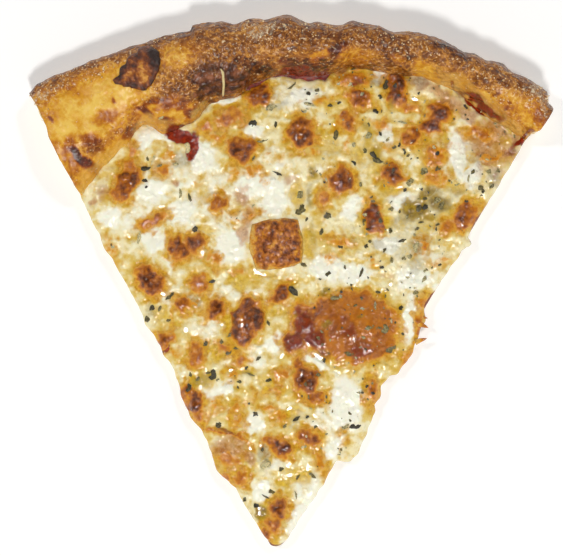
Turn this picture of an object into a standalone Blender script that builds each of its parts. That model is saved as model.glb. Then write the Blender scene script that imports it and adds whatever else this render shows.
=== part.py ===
"""A slice of cheese pizza: one sixth of a large pie, cut with two straight strokes.

A dough base with a puffed rim, a thin layer of tomato sauce, a sheet of melted cheese with
baked blisters, a browned lump of cheese on it, and a burnt flake of dough on the rim.

Metres, +Z up. The rim is at +Y and the point at -Y. The origin is under the middle of the
slice's box. The sizes below are in millimetres, and each mesh is scaled to metres at the end.
"""
import math

import bmesh
import bpy
from mathutils import Vector

MM = 0.001
GAP = 0.3                       # clearance between neighbouring pieces

# The outline. Reaches run from the point of the slice, and angles turn from +Y towards +X.
POINT = (-3.7, -89.9)
PIE_RADIUS = 179.2
RADIUS_DRIFT = 1.7              # the right half of the rim reaches further than the left
EDGE_LUMPS = 0.6                # height of the lumps along the rim's outer edge
CORNER_DROP = (2.8, 2.2)        # at its ends the rim falls short by this much, over this angle
LEFT_CUT = (-28.4, 2.2)         # a stroke's angle, and how far it passes beside the point
RIGHT_CUT = (30.9, 1.3)
BLUNT_REACH = 2.6               # where the blunt end of the point starts
BLUNT_FADE = 18.0               # rows turn from straight to round over this length
BLUNT_BULGE = 1.0

# The dough
BASE_HEIGHT = (4.2, 5.2)        # of the base at the point and at the rim
RIM_HEIGHT = (16.6, 19.6)       # at the left end and along the middle
RIM_BELLY = 8.5                 # height at which the rim is widest
RIM_UNDERCUT = 6.0              # from the rim's widest place back to its foot
RIM_LEAN = 0.16                 # how far the crest leans outwards

# The layers on the base
SAUCE_HEIGHT = 0.8
SAUCE_SHOW = 2.0                # strip of sauce between the cheese and the rim
CHEESE_HEIGHT = 2.7
CHEESE_EDGE_HEIGHT = 1.4
CHEESE_FADE = 9.0               # the sheet thins towards its edges over this length

# Reach of the cheese towards the rim, as (angle, reach)
CHEESE_REACH = (
    (-29.0, 141.7), (-23.5, 141.4), (-17.6, 151.0), (-13.0, 146.0), (-7.0, 153.0),
    (-1.0, 160.0), (5.5, 160.0), (8.0, 167.0), (17.0, 169.0), (24.0, 163.5), (31.0, 162.5),
)

# Melted cheese that hangs over the cuts, as (reach, half length, overhang)
LEFT_HANGS = ((31.0, 9.0, 3.2), (53.0, 11.0, 2.6), (86.0, 12.0, 1.0), (118.0, 16.0, 1.0))
RIGHT_HANGS = ((25.0, 11.0, 1.2), (44.0, 8.0, 5.4), (80.0, 20.0, 4.3), (116.0, 9.0, 1.0))

# Baked blisters in the cheese, as (x, y, half length, half width, turn, height)
BLISTERS = (
    (22.5, -15.5, 17.0, 15.0, 0.0, 3.4),
    (2.0, -18.5, 8.0, 6.5, 60.0, 1.8),
    (-14.5, -13.5, 10.5, 7.5, 70.0, 2.6),
    (6.0, -34.0, 9.5, 7.5, 110.0, 1.6),
    (-47.0, 0.0, 8.5, 6.5, -35.0, 2.0),
    (-55.0, 32.5, 9.0, 6.5, 50.0, 2.0),
    (-35.5, 12.0, 7.5, 6.5, 20.0, 1.9),
    (51.0, 55.5, 8.0, 6.0, 70.0, 2.0),
    (36.0, 66.0, 7.5, 6.0, 90.0, 1.9),
    (4.5, 51.5, 7.5, 7.0, 0.0, 1.9),
    (18.0, 34.5, 7.5, 7.0, 0.0, 1.8),
    (-3.0, -78.0, 6.5, 6.0, 45.0, 1.7),
    (60.0, 22.5, 8.5, 6.5, 40.0, 1.6),
)

# The browned lump of cheese: a rounded square that lies on the sheet
LUMP_PLACE = (-4.8, 13.0)
LUMP_SIZE = (18.6, 16.8)
LUMP_TURN = -4.0
LUMP_HEIGHT_RANGE = (1.6, 4.8)  # at its edge and in its middle

# The burnt flake: a thin cornered chip that follows the rim
FLAKE_PLACE = (-50.6, 72.0)
FLAKE_SIZE = (16.0, 13.0)
FLAKE_TURN = 38.0
FLAKE_HEIGHT_RANGE = (1.0, 2.2)

# Mesh steps
STATIONS = 32                   # across the slice, shared by the crust and its layers
BASE_ROWS = 5                   # along the base's top
UNDERCUT_STEPS = 4
RIM_STEPS = 14
SAUCE_ROWS = 8                  # from the point to the rim
CHEESE_ROWS = 34
LUMP_STEPS = 9
FLAKE_STEPS = 9


def blend(a, b, t):
    """The value that lies the share t of the way from a to b."""
    return a + (b - a) * t


def smooth(t):
    """0 below 0, 1 above 1, and the soft step 3t^2 - 2t^3 between."""
    t = min(max(t, 0.0), 1.0)
    return t * t * (3.0 - 2.0 * t)


def along(points, x):
    """The height at x of a line through points, rounded at each by a soft step."""
    if x <= points[0][0]:
        return points[0][1]
    for (x0, y0), (x1, y1) in zip(points, points[1:]):
        if x <= x1:
            return blend(y0, y1, smooth((x - x0) / (x1 - x0)))
    return points[-1][1]


# --- the plan of the slice ---------------------------------------------------------------

def cut_angle(cut, side, reach, hangs=()):
    """Angle at which a stroke, with the cheese that hangs over it, lies at this reach."""
    angle, miss = cut
    hang = sum(size * (1.0 - smooth(abs(reach - at) / half)) for at, half, size in hangs)
    return angle + side * math.degrees(math.asin(miss / reach) + hang / reach)


def station_angle(u):
    """Angle at the rim of the station u, which runs from 0 on the left cut to 1."""
    return blend(cut_angle(LEFT_CUT, -1, PIE_RADIUS), cut_angle(RIGHT_CUT, 1, PIE_RADIUS), u)


def plan(u, reach, left_hangs=(), right_hangs=()):
    """Place of station u at a reach: on a circle round the point, but near the point on a
    straight row with a slight bulge, so that the slice ends blunt."""
    left = math.radians(cut_angle(LEFT_CUT, -1, reach, left_hangs))
    right = math.radians(cut_angle(RIGHT_CUT, 1, reach, right_hangs))
    angle = blend(left, right, u)
    round_x, round_y = math.sin(angle), math.cos(angle)
    flat_x = blend(math.sin(left), math.sin(right), u)
    flat_y = blend(math.cos(left), math.cos(right), u)
    bulge = BLUNT_BULGE * (1.0 - (2.0 * u - 1.0) ** 2)
    straight = 1.0 - smooth((reach - BLUNT_REACH) / BLUNT_FADE)
    x = POINT[0] + reach * blend(round_x, flat_x, straight)
    y = POINT[1] + reach * blend(round_y, flat_y, straight) - bulge * straight
    return x, y


def outer_radius(angle):
    """Reach of the rim's widest line: lumps of hand-stretched dough, and rounded corners."""
    lumps = math.sin(math.radians(29.0 * angle)) + 0.6 * math.sin(math.radians(17.0 * angle + 60.0))
    drop, over = CORNER_DROP
    to_corner = min(angle - station_angle(0.0), station_angle(1.0) - angle)
    return (PIE_RADIUS + RADIUS_DRIFT * math.sin(math.radians(3.0 * angle)) + EDGE_LUMPS * lumps
            - drop * (1.0 - smooth(to_corner / over)))


def cheese_reach(angle):
    return along(CHEESE_REACH, angle)


def sauce_reach(angle):
    return cheese_reach(angle) + SAUCE_SHOW


def rim_height(angle):
    """The rim lies lower at its left end, and rises and falls a little along its length."""
    rise = smooth((angle + 28.0) / 24.0)
    return blend(*RIM_HEIGHT, rise) + 0.5 * math.sin(math.radians(22.0 * angle))


def base_top(reach):
    return blend(*BASE_HEIGHT, reach / PIE_RADIUS)


# --- the crust ---------------------------------------------------------------------------

def crust_section(angle):
    """Closed outline of the crust along one station, as (reach, height), from the point
    along the underside, round the rim and back along the top of the base."""
    outer = outer_radius(angle)
    inner = sauce_reach(angle) + GAP
    crest = rim_height(angle)
    middle, half = (outer + inner) / 2.0, (outer - inner) / 2.0
    foot = outer - RIM_UNDERCUT
    outline = [(BLUNT_REACH, 0.0), (foot * 0.35, 0.0), (foot * 0.7, 0.0)]
    for step in range(UNDERCUT_STEPS):
        turn = math.radians(90.0 * (1.0 - step / UNDERCUT_STEPS))
        reach = outer - RIM_UNDERCUT * (1.0 - math.cos(turn))
        outline.append((reach, RIM_BELLY * (1.0 - math.sin(turn))))
    for step in range(RIM_STEPS + 1):
        turn = math.pi * step / RIM_STEPS
        lift = max(math.sin(turn), 0.0)
        reach = middle + half * (math.cos(turn) + RIM_LEAN * lift * lift)
        if step * 2 <= RIM_STEPS:
            height = blend(RIM_BELLY, crest, lift ** 0.85)
        else:
            height = blend(base_top(inner), crest, lift ** 1.3)
        outline.append((reach, height))
    for row in range(1, BASE_ROWS + 1):
        reach = blend(inner, BLUNT_REACH, row / BASE_ROWS)
        outline.append((reach, base_top(reach)))
    return outline


def make_crust():
    """The crust's sections joined station by station, with a flat face on each cut."""
    mesh = bmesh.new()
    rings = []
    for station in range(STATIONS + 1):
        u = station / STATIONS
        section = crust_section(station_angle(u))
        rings.append([mesh.verts.new((*plan(u, reach), height)) for reach, height in section])
    count = len(rings[0])
    for ring, after in zip(rings, rings[1:]):
        for i in range(count):
            j = (i + 1) % count
            mesh.faces.new((ring[i], ring[j], after[j], after[i]))
    mesh.faces.new(reversed(rings[0]))
    mesh.faces.new(rings[-1])
    return mesh


# --- layers and pieces that lie on others ------------------------------------------------

def make_sheet(steps, place, underside, topside):
    """A closed sheet. A flat grid is placed in plan by place(u, v), its copy is extruded,
    and the two are set to the heights underside(x, y, u, v) and topside(x, y, u, v)."""
    mesh = bmesh.new()
    bmesh.ops.create_grid(mesh, x_segments=steps[0], y_segments=steps[1], size=0.5)
    spots = {vert: (vert.co.x + 0.5, vert.co.y + 0.5) for vert in mesh.verts}
    lower = list(mesh.verts)
    for vert in lower:
        u, v = spots[vert]
        x, y = place(u, v)
        vert.co = (x, y, underside(x, y, u, v))
    grown = bmesh.ops.extrude_face_region(mesh, geom=mesh.faces[:], use_keep_orig=True)
    upper = [item for item in grown["geom"] if isinstance(item, bmesh.types.BMVert)]
    for under, vert in zip(lower, upper):
        u, v = spots[under]
        vert.co.z = topside(vert.co.x, vert.co.y, u, v)
    return mesh


def to_point(x, y):
    """Reach and angle of a place, measured from the point of the slice."""
    return math.hypot(x - POINT[0], y - POINT[1]), math.degrees(math.atan2(x - POINT[0], y - POINT[1]))


def sheet_place(reach_at, left_hangs=(), right_hangs=()):
    """Placer for a sheet that runs from the blunt point to reach_at(angle)."""
    def place(u, v):
        reach = blend(BLUNT_REACH, reach_at(station_angle(u)), v)
        return plan(u, reach, left_hangs, right_hangs)
    return place


def sauce_under(x, y, u=0.5, v=0.5):
    return base_top(to_point(x, y)[0]) + GAP


def sauce_top(x, y, u=0.5, v=0.5):
    return sauce_under(x, y) + SAUCE_HEIGHT


def cheese_under(x, y, u=0.5, v=0.5):
    return sauce_top(x, y) + GAP


def oval_distance(x, y, place, size, turn):
    """Distance from an oval's middle, in units of its half length and half width."""
    angle = math.radians(turn)
    dx, dy = x - place[0], y - place[1]
    across = (dx * math.cos(angle) + dy * math.sin(angle)) / size[0]
    up = (dy * math.cos(angle) - dx * math.sin(angle)) / size[1]
    return math.hypot(across, up)


def cheese_top(x, y, u=None, v=0.5):
    """The sheet is full in the middle, thins towards every edge, and swells into blisters."""
    reach, angle = to_point(x, y)
    to_rim = cheese_reach(angle) - reach
    to_cut = min(angle - LEFT_CUT[0], RIGHT_CUT[0] - angle) * math.radians(reach)
    fullness = smooth(min(to_rim, to_cut + 2.0) / CHEESE_FADE)
    height = blend(CHEESE_EDGE_HEIGHT, CHEESE_HEIGHT, fullness)
    for at_x, at_y, length, width, turn, swell in BLISTERS:
        distance = oval_distance(x, y, (at_x, at_y), (length, width), turn)
        height += swell * (1.0 - smooth(distance))
    return cheese_under(x, y) + height


def make_sauce():
    place = sheet_place(sauce_reach)
    return make_sheet((STATIONS, SAUCE_ROWS), place, sauce_under, sauce_top)


def make_cheese():
    place = sheet_place(cheese_reach, LEFT_HANGS, RIGHT_HANGS)
    return make_sheet((STATIONS, CHEESE_ROWS), place, cheese_under, cheese_top)


def patch_place(centre, size, turn, roundness):
    """Placer for a patch: a square grid drawn in towards an oval by its roundness."""
    def place(u, v):
        a, b = 2.0 * u - 1.0, 2.0 * v - 1.0
        pull = 1.0 - roundness * (1.0 - 1.0 / math.sqrt(1.0 + (a * b) ** 2))
        x, y = a * pull * size[0] / 2.0, b * pull * size[1] / 2.0
        angle = math.radians(turn)
        return (centre[0] + x * math.cos(angle) - y * math.sin(angle),
                centre[1] + x * math.sin(angle) + y * math.cos(angle))
    return place


def crowned(under, heights):
    """Topside of a patch: its edge height rises to its middle height like a cushion."""
    def topside(x, y, u, v):
        crown = smooth(4.0 * min(u, 1.0 - u, v, 1.0 - v))
        return under(x, y, u, v) + blend(*heights, crown)
    return topside


def make_lump():
    def under(x, y, u, v):
        return cheese_top(x, y) + GAP
    place = patch_place(LUMP_PLACE, LUMP_SIZE, LUMP_TURN, 0.55)
    return make_sheet((LUMP_STEPS, LUMP_STEPS), place, under, crowned(under, LUMP_HEIGHT_RANGE))


def rim_top(x, y):
    """Height of the rim's upper side at a place, read from the section through it."""
    reach, angle = to_point(x, y)
    over = crust_section(angle)[3 + UNDERCUT_STEPS:4 + UNDERCUT_STEPS + RIM_STEPS]
    for (far, high), (near, low) in zip(over, over[1:]):
        if near <= reach <= far:
            return blend(high, low, (far - reach) / (far - near))
    return base_top(reach)


def make_flake():
    def under(x, y, u, v):
        return rim_top(x, y) + 2.0 * GAP
    place = patch_place(FLAKE_PLACE, FLAKE_SIZE, FLAKE_TURN, 0.35)
    return make_sheet((FLAKE_STEPS, FLAKE_STEPS), place, under, crowned(under, FLAKE_HEIGHT_RANGE))


# --- objects -----------------------------------------------------------------------------

def food(name, colour, roughness):
    """A Principled material for one part of the slice."""
    material = bpy.data.materials.new(name)
    material.use_nodes = True
    shader = material.node_tree.nodes["Principled BSDF"]
    shader.inputs["Base Color"].default_value = (*colour, 1.0)
    shader.inputs["Roughness"].default_value = roughness
    shader.inputs["Metallic"].default_value = 0.0
    return material


def add_part(collection, name, mesh, material):
    """Turns a bmesh, in millimetres, into a named object, in metres."""
    bmesh.ops.scale(mesh, vec=(MM, MM, MM), verts=mesh.verts)
    bmesh.ops.recalc_face_normals(mesh, faces=mesh.faces)
    data = bpy.data.meshes.new(name)
    mesh.to_mesh(data)
    mesh.free()
    data.materials.append(material)
    data.shade_smooth()
    data.set_sharp_from_angle(angle=math.radians(40.0))
    part = bpy.data.objects.new(name, data)
    collection.objects.link(part)
    return part


def stand_on_origin(parts):
    """Moves the meshes together, so that the middle of their box is over the origin."""
    corners = [vert.co for part in parts for vert in part.data.vertices]
    low = Vector([min(corner[axis] for corner in corners) for axis in range(3)])
    high = Vector([max(corner[axis] for corner in corners) for axis in range(3)])
    for part in parts:
        for vert in part.data.vertices:
            vert.co.x -= (low.x + high.x) / 2.0
            vert.co.y -= (low.y + high.y) / 2.0
            vert.co.z -= low.z


def main():
    for old in list(bpy.data.objects):
        bpy.data.objects.remove(old, do_unlink=True)
    collection = bpy.data.collections.new("cheese_pizza_slice")
    bpy.context.scene.collection.children.link(collection)
    parts = [
        add_part(collection, "crust", make_crust(), food("baked_dough", (0.50, 0.25, 0.06), 0.7)),
        add_part(collection, "sauce", make_sauce(), food("tomato_sauce", (0.25, 0.02, 0.01), 0.35)),
        add_part(collection, "cheese", make_cheese(), food("melted_cheese", (0.80, 0.66, 0.36), 0.4)),
        add_part(collection, "cheese_lump", make_lump(), food("browned_cheese", (0.30, 0.09, 0.02), 0.4)),
        add_part(collection, "burnt_flake", make_flake(), food("burnt_dough", (0.06, 0.02, 0.01), 0.6)),
    ]
    stand_on_origin(parts)


main()
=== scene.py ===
# %% [markdown]
# # A slice of cheese pizza
#
# One sixth of a large pie: a dough base with a puffed rim, a little tomato sauce, melted cheese
# with baked blisters, dried herbs and a burnt flake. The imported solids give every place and
# size, and each piece below is a finer surface that stands where its solid stands.
#
# The working unit is the millimetre, because food is thought of in millimetres. A mesh is turned
# into metres at the moment when it is made.

# %% The frame, and the measures that come from it
import math

import bmesh
import bpy
import numpy as np
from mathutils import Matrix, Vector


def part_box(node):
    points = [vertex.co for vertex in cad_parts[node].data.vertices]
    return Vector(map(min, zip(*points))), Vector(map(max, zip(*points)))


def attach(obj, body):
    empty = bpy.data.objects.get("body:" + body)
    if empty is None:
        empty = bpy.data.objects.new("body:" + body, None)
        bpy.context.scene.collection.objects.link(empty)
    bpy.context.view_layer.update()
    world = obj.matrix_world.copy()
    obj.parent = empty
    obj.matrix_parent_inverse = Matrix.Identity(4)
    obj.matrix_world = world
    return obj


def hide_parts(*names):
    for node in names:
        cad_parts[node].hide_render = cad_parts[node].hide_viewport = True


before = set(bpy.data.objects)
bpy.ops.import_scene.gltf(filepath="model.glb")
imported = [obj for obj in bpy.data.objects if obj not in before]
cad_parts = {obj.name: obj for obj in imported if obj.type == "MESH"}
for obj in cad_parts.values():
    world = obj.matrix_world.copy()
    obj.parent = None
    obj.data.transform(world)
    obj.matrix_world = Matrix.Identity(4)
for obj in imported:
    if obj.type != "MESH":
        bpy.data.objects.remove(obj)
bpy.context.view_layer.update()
MM = 0.001


def box_mm(node):
    """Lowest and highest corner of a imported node, in millimetres."""
    low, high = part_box(node)
    return np.array(low) / MM, np.array(high) / MM


crust_low, crust_high = box_mm("crust")
print("crust, mm:", np.round(crust_high - crust_low, 1))

# %% [markdown]
# ## Small tools
#
# Food is uneven at every scale, so most shapes here are a simple formula plus noise. Gradient
# noise puts a random slope on each corner of a square lattice and blends between them. Several
# sizes of it laid over each other, each turned against the last, look natural. The cell pattern
# measures how far it is to the nearest of many scattered points, which gives pits and bubbles.

# %% Steps, noise and cells


def blend(a, b, t):
    """The value that lies the share t of the way from a to b."""
    return a + (b - a) * t


def smooth(t):
    """0 below 0, 1 above 1, and 3t^2 - 2t^3 between."""
    t = np.clip(t, 0.0, 1.0)
    return t * t * (3.0 - 2.0 * t)


def along(points, x):
    """Height at x of a line through (x, height) points, rounded at each point by a soft step."""
    at, height = np.array(points, float).T
    i = np.clip(np.searchsorted(at, x) - 1, 0, len(at) - 2)
    return blend(height[i], height[i + 1], smooth((x - at[i]) / (at[i + 1] - at[i])))


def soft_min(a, b, width):
    """The lower of two values, with the corner between them rounded over a width."""
    near = np.maximum(width - np.abs(a - b), 0.0) / width
    return np.minimum(a, b) - near * near * width / 4.0


def noise(x, y, size, seed):
    """Gradient noise, about -1 to 1, with waves of about the given size."""
    turn = np.random.default_rng(seed).uniform(0.0, 2.0 * np.pi, (64, 64))
    slope_x, slope_y = np.cos(turn), np.sin(turn)
    x, y = x / size + 31.7, y / size + 29.3
    i, j = np.floor(x).astype(int), np.floor(y).astype(int)
    fx, fy = x - i, y - j

    def corner(right, up):
        a, b = (i + right) % 64, (j + up) % 64
        return slope_x[a, b] * (fx - right) + slope_y[a, b] * (fy - up)

    low = blend(corner(0, 0), corner(1, 0), smooth(fx))
    high = blend(corner(0, 1), corner(1, 1), smooth(fx))
    return 1.6 * blend(low, high, smooth(fy))


def rough(x, y, size, seed, layers=3, keep=0.5):
    """Layers of noise, each half the size of the last, turned by 37 degrees, and weaker."""
    total, weight = np.zeros_like(x), 1.0
    for layer in range(layers):
        total = total + weight * noise(x, y, size, seed + layer)
        x, y = 0.8 * x - 0.6 * y, 0.6 * x + 0.8 * y
        size, weight = size / 2.0, weight * keep
    return total


def cells(x, y, size, seed):
    """Distance to the nearest of points scattered one to a square, in units of the size."""
    place = np.random.default_rng(seed).uniform(0.15, 0.85, (64, 64, 2))
    x, y = x / size + 31.7, y / size + 29.3
    i, j = np.floor(x).astype(int), np.floor(y).astype(int)
    nearest = np.full_like(x, 9.0)
    for right in (-1, 0, 1):
        for up in (-1, 0, 1):
            a, b = i + right, j + up
            spot = place[a % 64, b % 64]
            distance = np.hypot(a + spot[..., 0] - x, b + spot[..., 1] - y)
            nearest = np.minimum(nearest, distance)
    return nearest


def domes(x, y, size, seed):
    """Half balls scattered one to a square: 1 on top, 0 in the creases between."""
    return np.sqrt(np.maximum(1.0 - (cells(x, y, size, seed) / 0.68) ** 2, 0.0))


# %% [markdown]
# ## The plan of the slice
#
# Two straight strokes of the knife and the round rim bound the slice. Each bound is written as
# a room: how many millimetres are left to it from a place, positive inside. The lowest of the
# rooms tells whether a place is inside, and how far from the edge it is.
#
# The melted cheese hangs over the strokes in tongues, so its own hang, as a list of reach and
# overhang, is added to the room beside each stroke.

# %% Strokes, reach and hang
PIE_RADIUS = 179.2
LEFT_TURN, LEFT_MISS = math.radians(28.4), 2.2
RIGHT_TURN, RIGHT_MISS = math.radians(30.9), 1.3
LEFT_HANG = (
    (3, 0.2), (10, 0.7), (16, 1.1), (24, 1.0), (27, 2.4), (33, 4.0), (37, 3.3), (40, 2.5),
    (46, 2.1), (53, 3.1), (59, 2.9), (66, 1.2), (70, 0.5), (76, 1.0), (83, 0.8), (88, 1.5),
    (95, 0.9), (113, 0.9), (118, 1.8), (123, 0.9), (133, 0.6), (141, 0.1), (165, 0.0),
)
RIGHT_HANG = (
    (3, 0.2), (10, 0.4), (22, 1.0), (28, 1.2), (35, 0.8), (38.5, 5.4), (42, 6.0), (47, 5.2),
    (53, 4.2), (56, 4.0), (58, 2.6), (61, 2.6), (65, 0.8), (69, 1.6), (72, 3.6), (79, 4.4),
    (85, 3.2), (91, 2.4), (96, -0.5), (105, 0.0), (118, 0.8), (120.5, 1.6), (121.8, 2.5), (123.4, 0.1),
    (131, -0.5), (142, 0.1), (165, 0.0),
)

# Outer edge of the rim, as (angle, how far it stands out of the even circle)
EDGE_LUMPS = (
    (-30, -3.4), (-28.6, -2.0), (-27.3, -0.3), (-25, -0.1), (-19, -0.6), (-16, -0.8), (-12.6, 0.0),
    (-9.6, -0.8), (-9.1, 1.0), (-6.5, 0.7), (-4.6, -0.5), (-3, 1.2), (-1.4, 0.3), (1.2, 1.4),
    (3.5, -1.2), (4.5, -0.5), (6.5, -1.7), (8.5, 0.4), (11, 0.6), (12.6, -0.6), (14.5, 0.7),
    (17.3, 0.5), (21, -1.2), (22, -0.3), (23.3, -0.8), (24.8, 0.0), (26.5, -1.0), (29.5, -0.5),
    (30.7, -1.2), (31.4, -4.5), (33, -6.0),
)
# Reach of the cheese, and of the sauce, towards the rim, as (angle, reach)
CHEESE_REACH = (
    (-31, 139.2), (-28.8, 139.4), (-26.5, 141.6), (-23.9, 144.6), (-20.8, 147.6), (-17.6, 152.6), (-14.9, 147.5),
    (-11.2, 149.0), (-8, 154.8), (-5, 154.8), (-3, 156.5), (-0.8, 160.2), (3.5, 159.4), (5.7, 159.3),
    (7.6, 167.2), (13.5, 167.3), (17, 169.5), (20, 169.6), (21.4, 169.0), (23.3, 167.2), (27.3, 164.6), (31, 164.0),
)
SAUCE_REACH = (
    (-31, 139.5), (-28.8, 139.7), (-26.5, 141.9), (-23.9, 144.9), (-20.8, 147.9), (-17, 152.6), (-14.9, 148.0),
    (-11, 149.4), (-8, 155.0),
    (-5, 156.0), (-2, 161.2), (0, 163.0), (5, 162.9), (7, 164.6), (8.5, 167.4), (13.5, 167.6), (17, 169.8),
    (20, 170.0), (21.4, 169.4), (23.3, 167.6), (27.3, 165.0), (31, 164.4),
)

# The point lies a little left of the middle of the crust's box, and just inside its front
POINT_SHARE, POINT_INSET = 0.479, 0.3
POINT_X = blend(crust_low[0], crust_high[0], POINT_SHARE)
POINT_Y = crust_low[1] + POINT_INSET
print("point of the slice, mm:", round(POINT_X, 2), round(POINT_Y, 2))


def reach_of(x, y):
    return np.hypot(x - POINT_X, y - POINT_Y)


def angle_of(x, y):
    """Angle in degrees from +Y towards +X, seen from the point of the slice."""
    return np.degrees(np.arctan2(x - POINT_X, y - POINT_Y))


def room_left(x, y):
    return LEFT_MISS + math.cos(LEFT_TURN) * (x - POINT_X) + math.sin(LEFT_TURN) * (y - POINT_Y)


def room_right(x, y):
    return RIGHT_MISS - math.cos(RIGHT_TURN) * (x - POINT_X) + math.sin(RIGHT_TURN) * (y - POINT_Y)


def room_point(x, y):
    return y - POINT_Y + 0.2


def outer_radius(angle):
    return PIE_RADIUS + 1.7 * np.sin(np.radians(3.0 * angle)) + along(EDGE_LUMPS, angle)


def dough_room(x, y):
    """Room inside the two strokes and the blunt point."""
    return soft_min(soft_min(room_left(x, y), room_right(x, y), 1.0), room_point(x, y), 2.0)


def cheese_room(x, y):
    """Room inside the ragged edge of the cheese."""
    reach, angle = reach_of(x, y), angle_of(x, y)
    left = room_left(x, y) + along(LEFT_HANG, reach) + 0.35 * noise(y, x, 3.4, 11)
    right = room_right(x, y) + along(RIGHT_HANG, reach) + 0.35 * noise(y, x, 3.1, 12)
    rim = along(CHEESE_REACH, angle) - reach + 0.8 * rough(x, y, 6.0, 13, 2)
    sides = soft_min(left, right, 2.0)
    return soft_min(soft_min(sides, room_point(x, y), 3.0), rim, 1.0)


# %% [markdown]
# ## From arrays to meshes
#
# A surface is worked out as whole arrays of points, and `from_pydata` and `foreach_set` put them
# into the mesh at once. A closed mesh is what a printer or a physics engine wants, so open rims
# are filled, doubles are merged, and the faces are turned outwards.

# %% Mesh helpers


def quads_of(index, cyclic=False):
    """The faces of a grid of point numbers. A cyclic grid also joins its last column to its first."""
    if cyclic:
        index = np.concatenate([index, index[:, :1]], axis=1)
    return np.stack([index[:-1, :-1], index[1:, :-1], index[1:, 1:], index[:-1, 1:]], -1).reshape(-1, 4)


def make_piece(name, points, faces, fields=None, fill=False, merge=0.0):
    """A mesh object from points in millimetres and quads of point numbers, on body root."""
    mesh = bpy.data.meshes.new(name)
    mesh.from_pydata(points * MM, [], faces.tolist())
    for field, values in (fields or {}).items():
        layer = mesh.attributes.new(field, "FLOAT", "POINT")
        layer.data.foreach_set("value", np.asarray(values, np.float32))
    work = bmesh.new()
    work.from_mesh(mesh)
    if merge:
        bmesh.ops.remove_doubles(work, verts=work.verts, dist=merge * MM)
        bmesh.ops.dissolve_degenerate(work, edges=work.edges, dist=merge * MM * 0.1)
    if fill:
        rims = [edge for edge in work.edges if edge.is_boundary]
        bmesh.ops.edgeloop_fill(work, edges=rims)
    bmesh.ops.recalc_face_normals(work, faces=work.faces)
    open_edges = sum(1 for edge in work.edges if not edge.is_manifold)
    work.to_mesh(mesh)
    work.free()
    mesh.shade_smooth()
    piece = bpy.data.objects.new(name, mesh)
    bpy.context.scene.collection.objects.link(piece)
    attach(piece, "root")
    triangles = sum(len(face.vertices) - 2 for face in mesh.polygons)
    print(f"{name}: {triangles} triangles, {open_edges} open edges")
    return piece


def normals_of(grid):
    """Unit normals of a grid of points, from the cross product of its two directions."""
    across = np.gradient(grid, axis=0)
    up = np.gradient(grid, axis=1)
    normal = np.cross(across, up)
    return normal / np.maximum(np.linalg.norm(normal, axis=-1, keepdims=True), 1e-9)


def slab(top, bottom):
    """A closed body between two grids of points of one shape: both faces and the wall round them."""
    rows, columns = top.shape[:2]
    index = np.arange(rows * columns).reshape(rows, columns)
    ring = np.concatenate([index[0, :-1], index[:-1, -1], index[-1, :0:-1], index[:0:-1, 0]])
    after = np.roll(ring, -1)
    wall = np.stack([ring, after, after + index.size, ring + index.size], -1)
    points = np.concatenate([top.reshape(-1, 3), bottom.reshape(-1, 3)])
    faces = np.concatenate([quads_of(index), quads_of(index)[:, ::-1] + index.size, wall])
    return points, faces


def disc(top, bottom):
    """A closed body between two grids of rings by turns. Every first ring is one point."""
    rings, turns = top.shape[:2]
    index = np.arange(rings * turns).reshape(rings, turns)
    ring = index[-1]
    after = np.roll(ring, -1)
    wall = np.stack([ring, after, after + index.size, ring + index.size], -1)
    points = np.concatenate([top.reshape(-1, 3), bottom.reshape(-1, 3)])
    sheet = quads_of(index, cyclic=True)
    return points, np.concatenate([sheet, sheet[:, ::-1] + index.size, wall])


# %% [markdown]
# ## Shader maths as expressions
#
# A material is a graph of nodes, and a graph is long to write and hard to read. Here a socket is
# wrapped in a small class with the arithmetic operators, so `1 - mask * 0.5` adds the Math nodes
# by itself. Every other node comes from one method, `node`. Colours are given as the usual
# 0 to 255 screen values and turned into the linear light that the shader works in.

# %% Values that build nodes


def rgb(red, green, blue):
    """Screen colour to linear colour, with an alpha of 1."""
    share = np.array([red, green, blue]) / 255.0
    linear = np.where(share < 0.04045, share / 12.92, ((share + 0.055) / 1.055) ** 2.4)
    return (*linear.tolist(), 1.0)


class Value:
    """The output of a node. Arithmetic on it adds Math nodes."""

    def __init__(self, recipe, socket):
        self.recipe = recipe
        self.socket = socket

    def maths(self, operation, first, second):
        settings = {"operation": operation}
        return self.recipe.node("ShaderNodeMath", settings, {0: first, 1: second})

    def __add__(self, other):
        return self.maths("ADD", self, other)

    def __sub__(self, other):
        return self.maths("SUBTRACT", self, other)

    def __rsub__(self, other):
        return self.maths("SUBTRACT", other, self)

    def __mul__(self, other):
        return self.maths("MULTIPLY", self, other)

    def __pow__(self, other):
        return self.maths("POWER", self, other)

    def __abs__(self):
        return self.maths("ABSOLUTE", self, 0.0)

    def above(self, low):
        """The value, but never less than low."""
        return self.maths("MAXIMUM", self, low)

    __radd__ = __add__
    __rmul__ = __mul__


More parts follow.
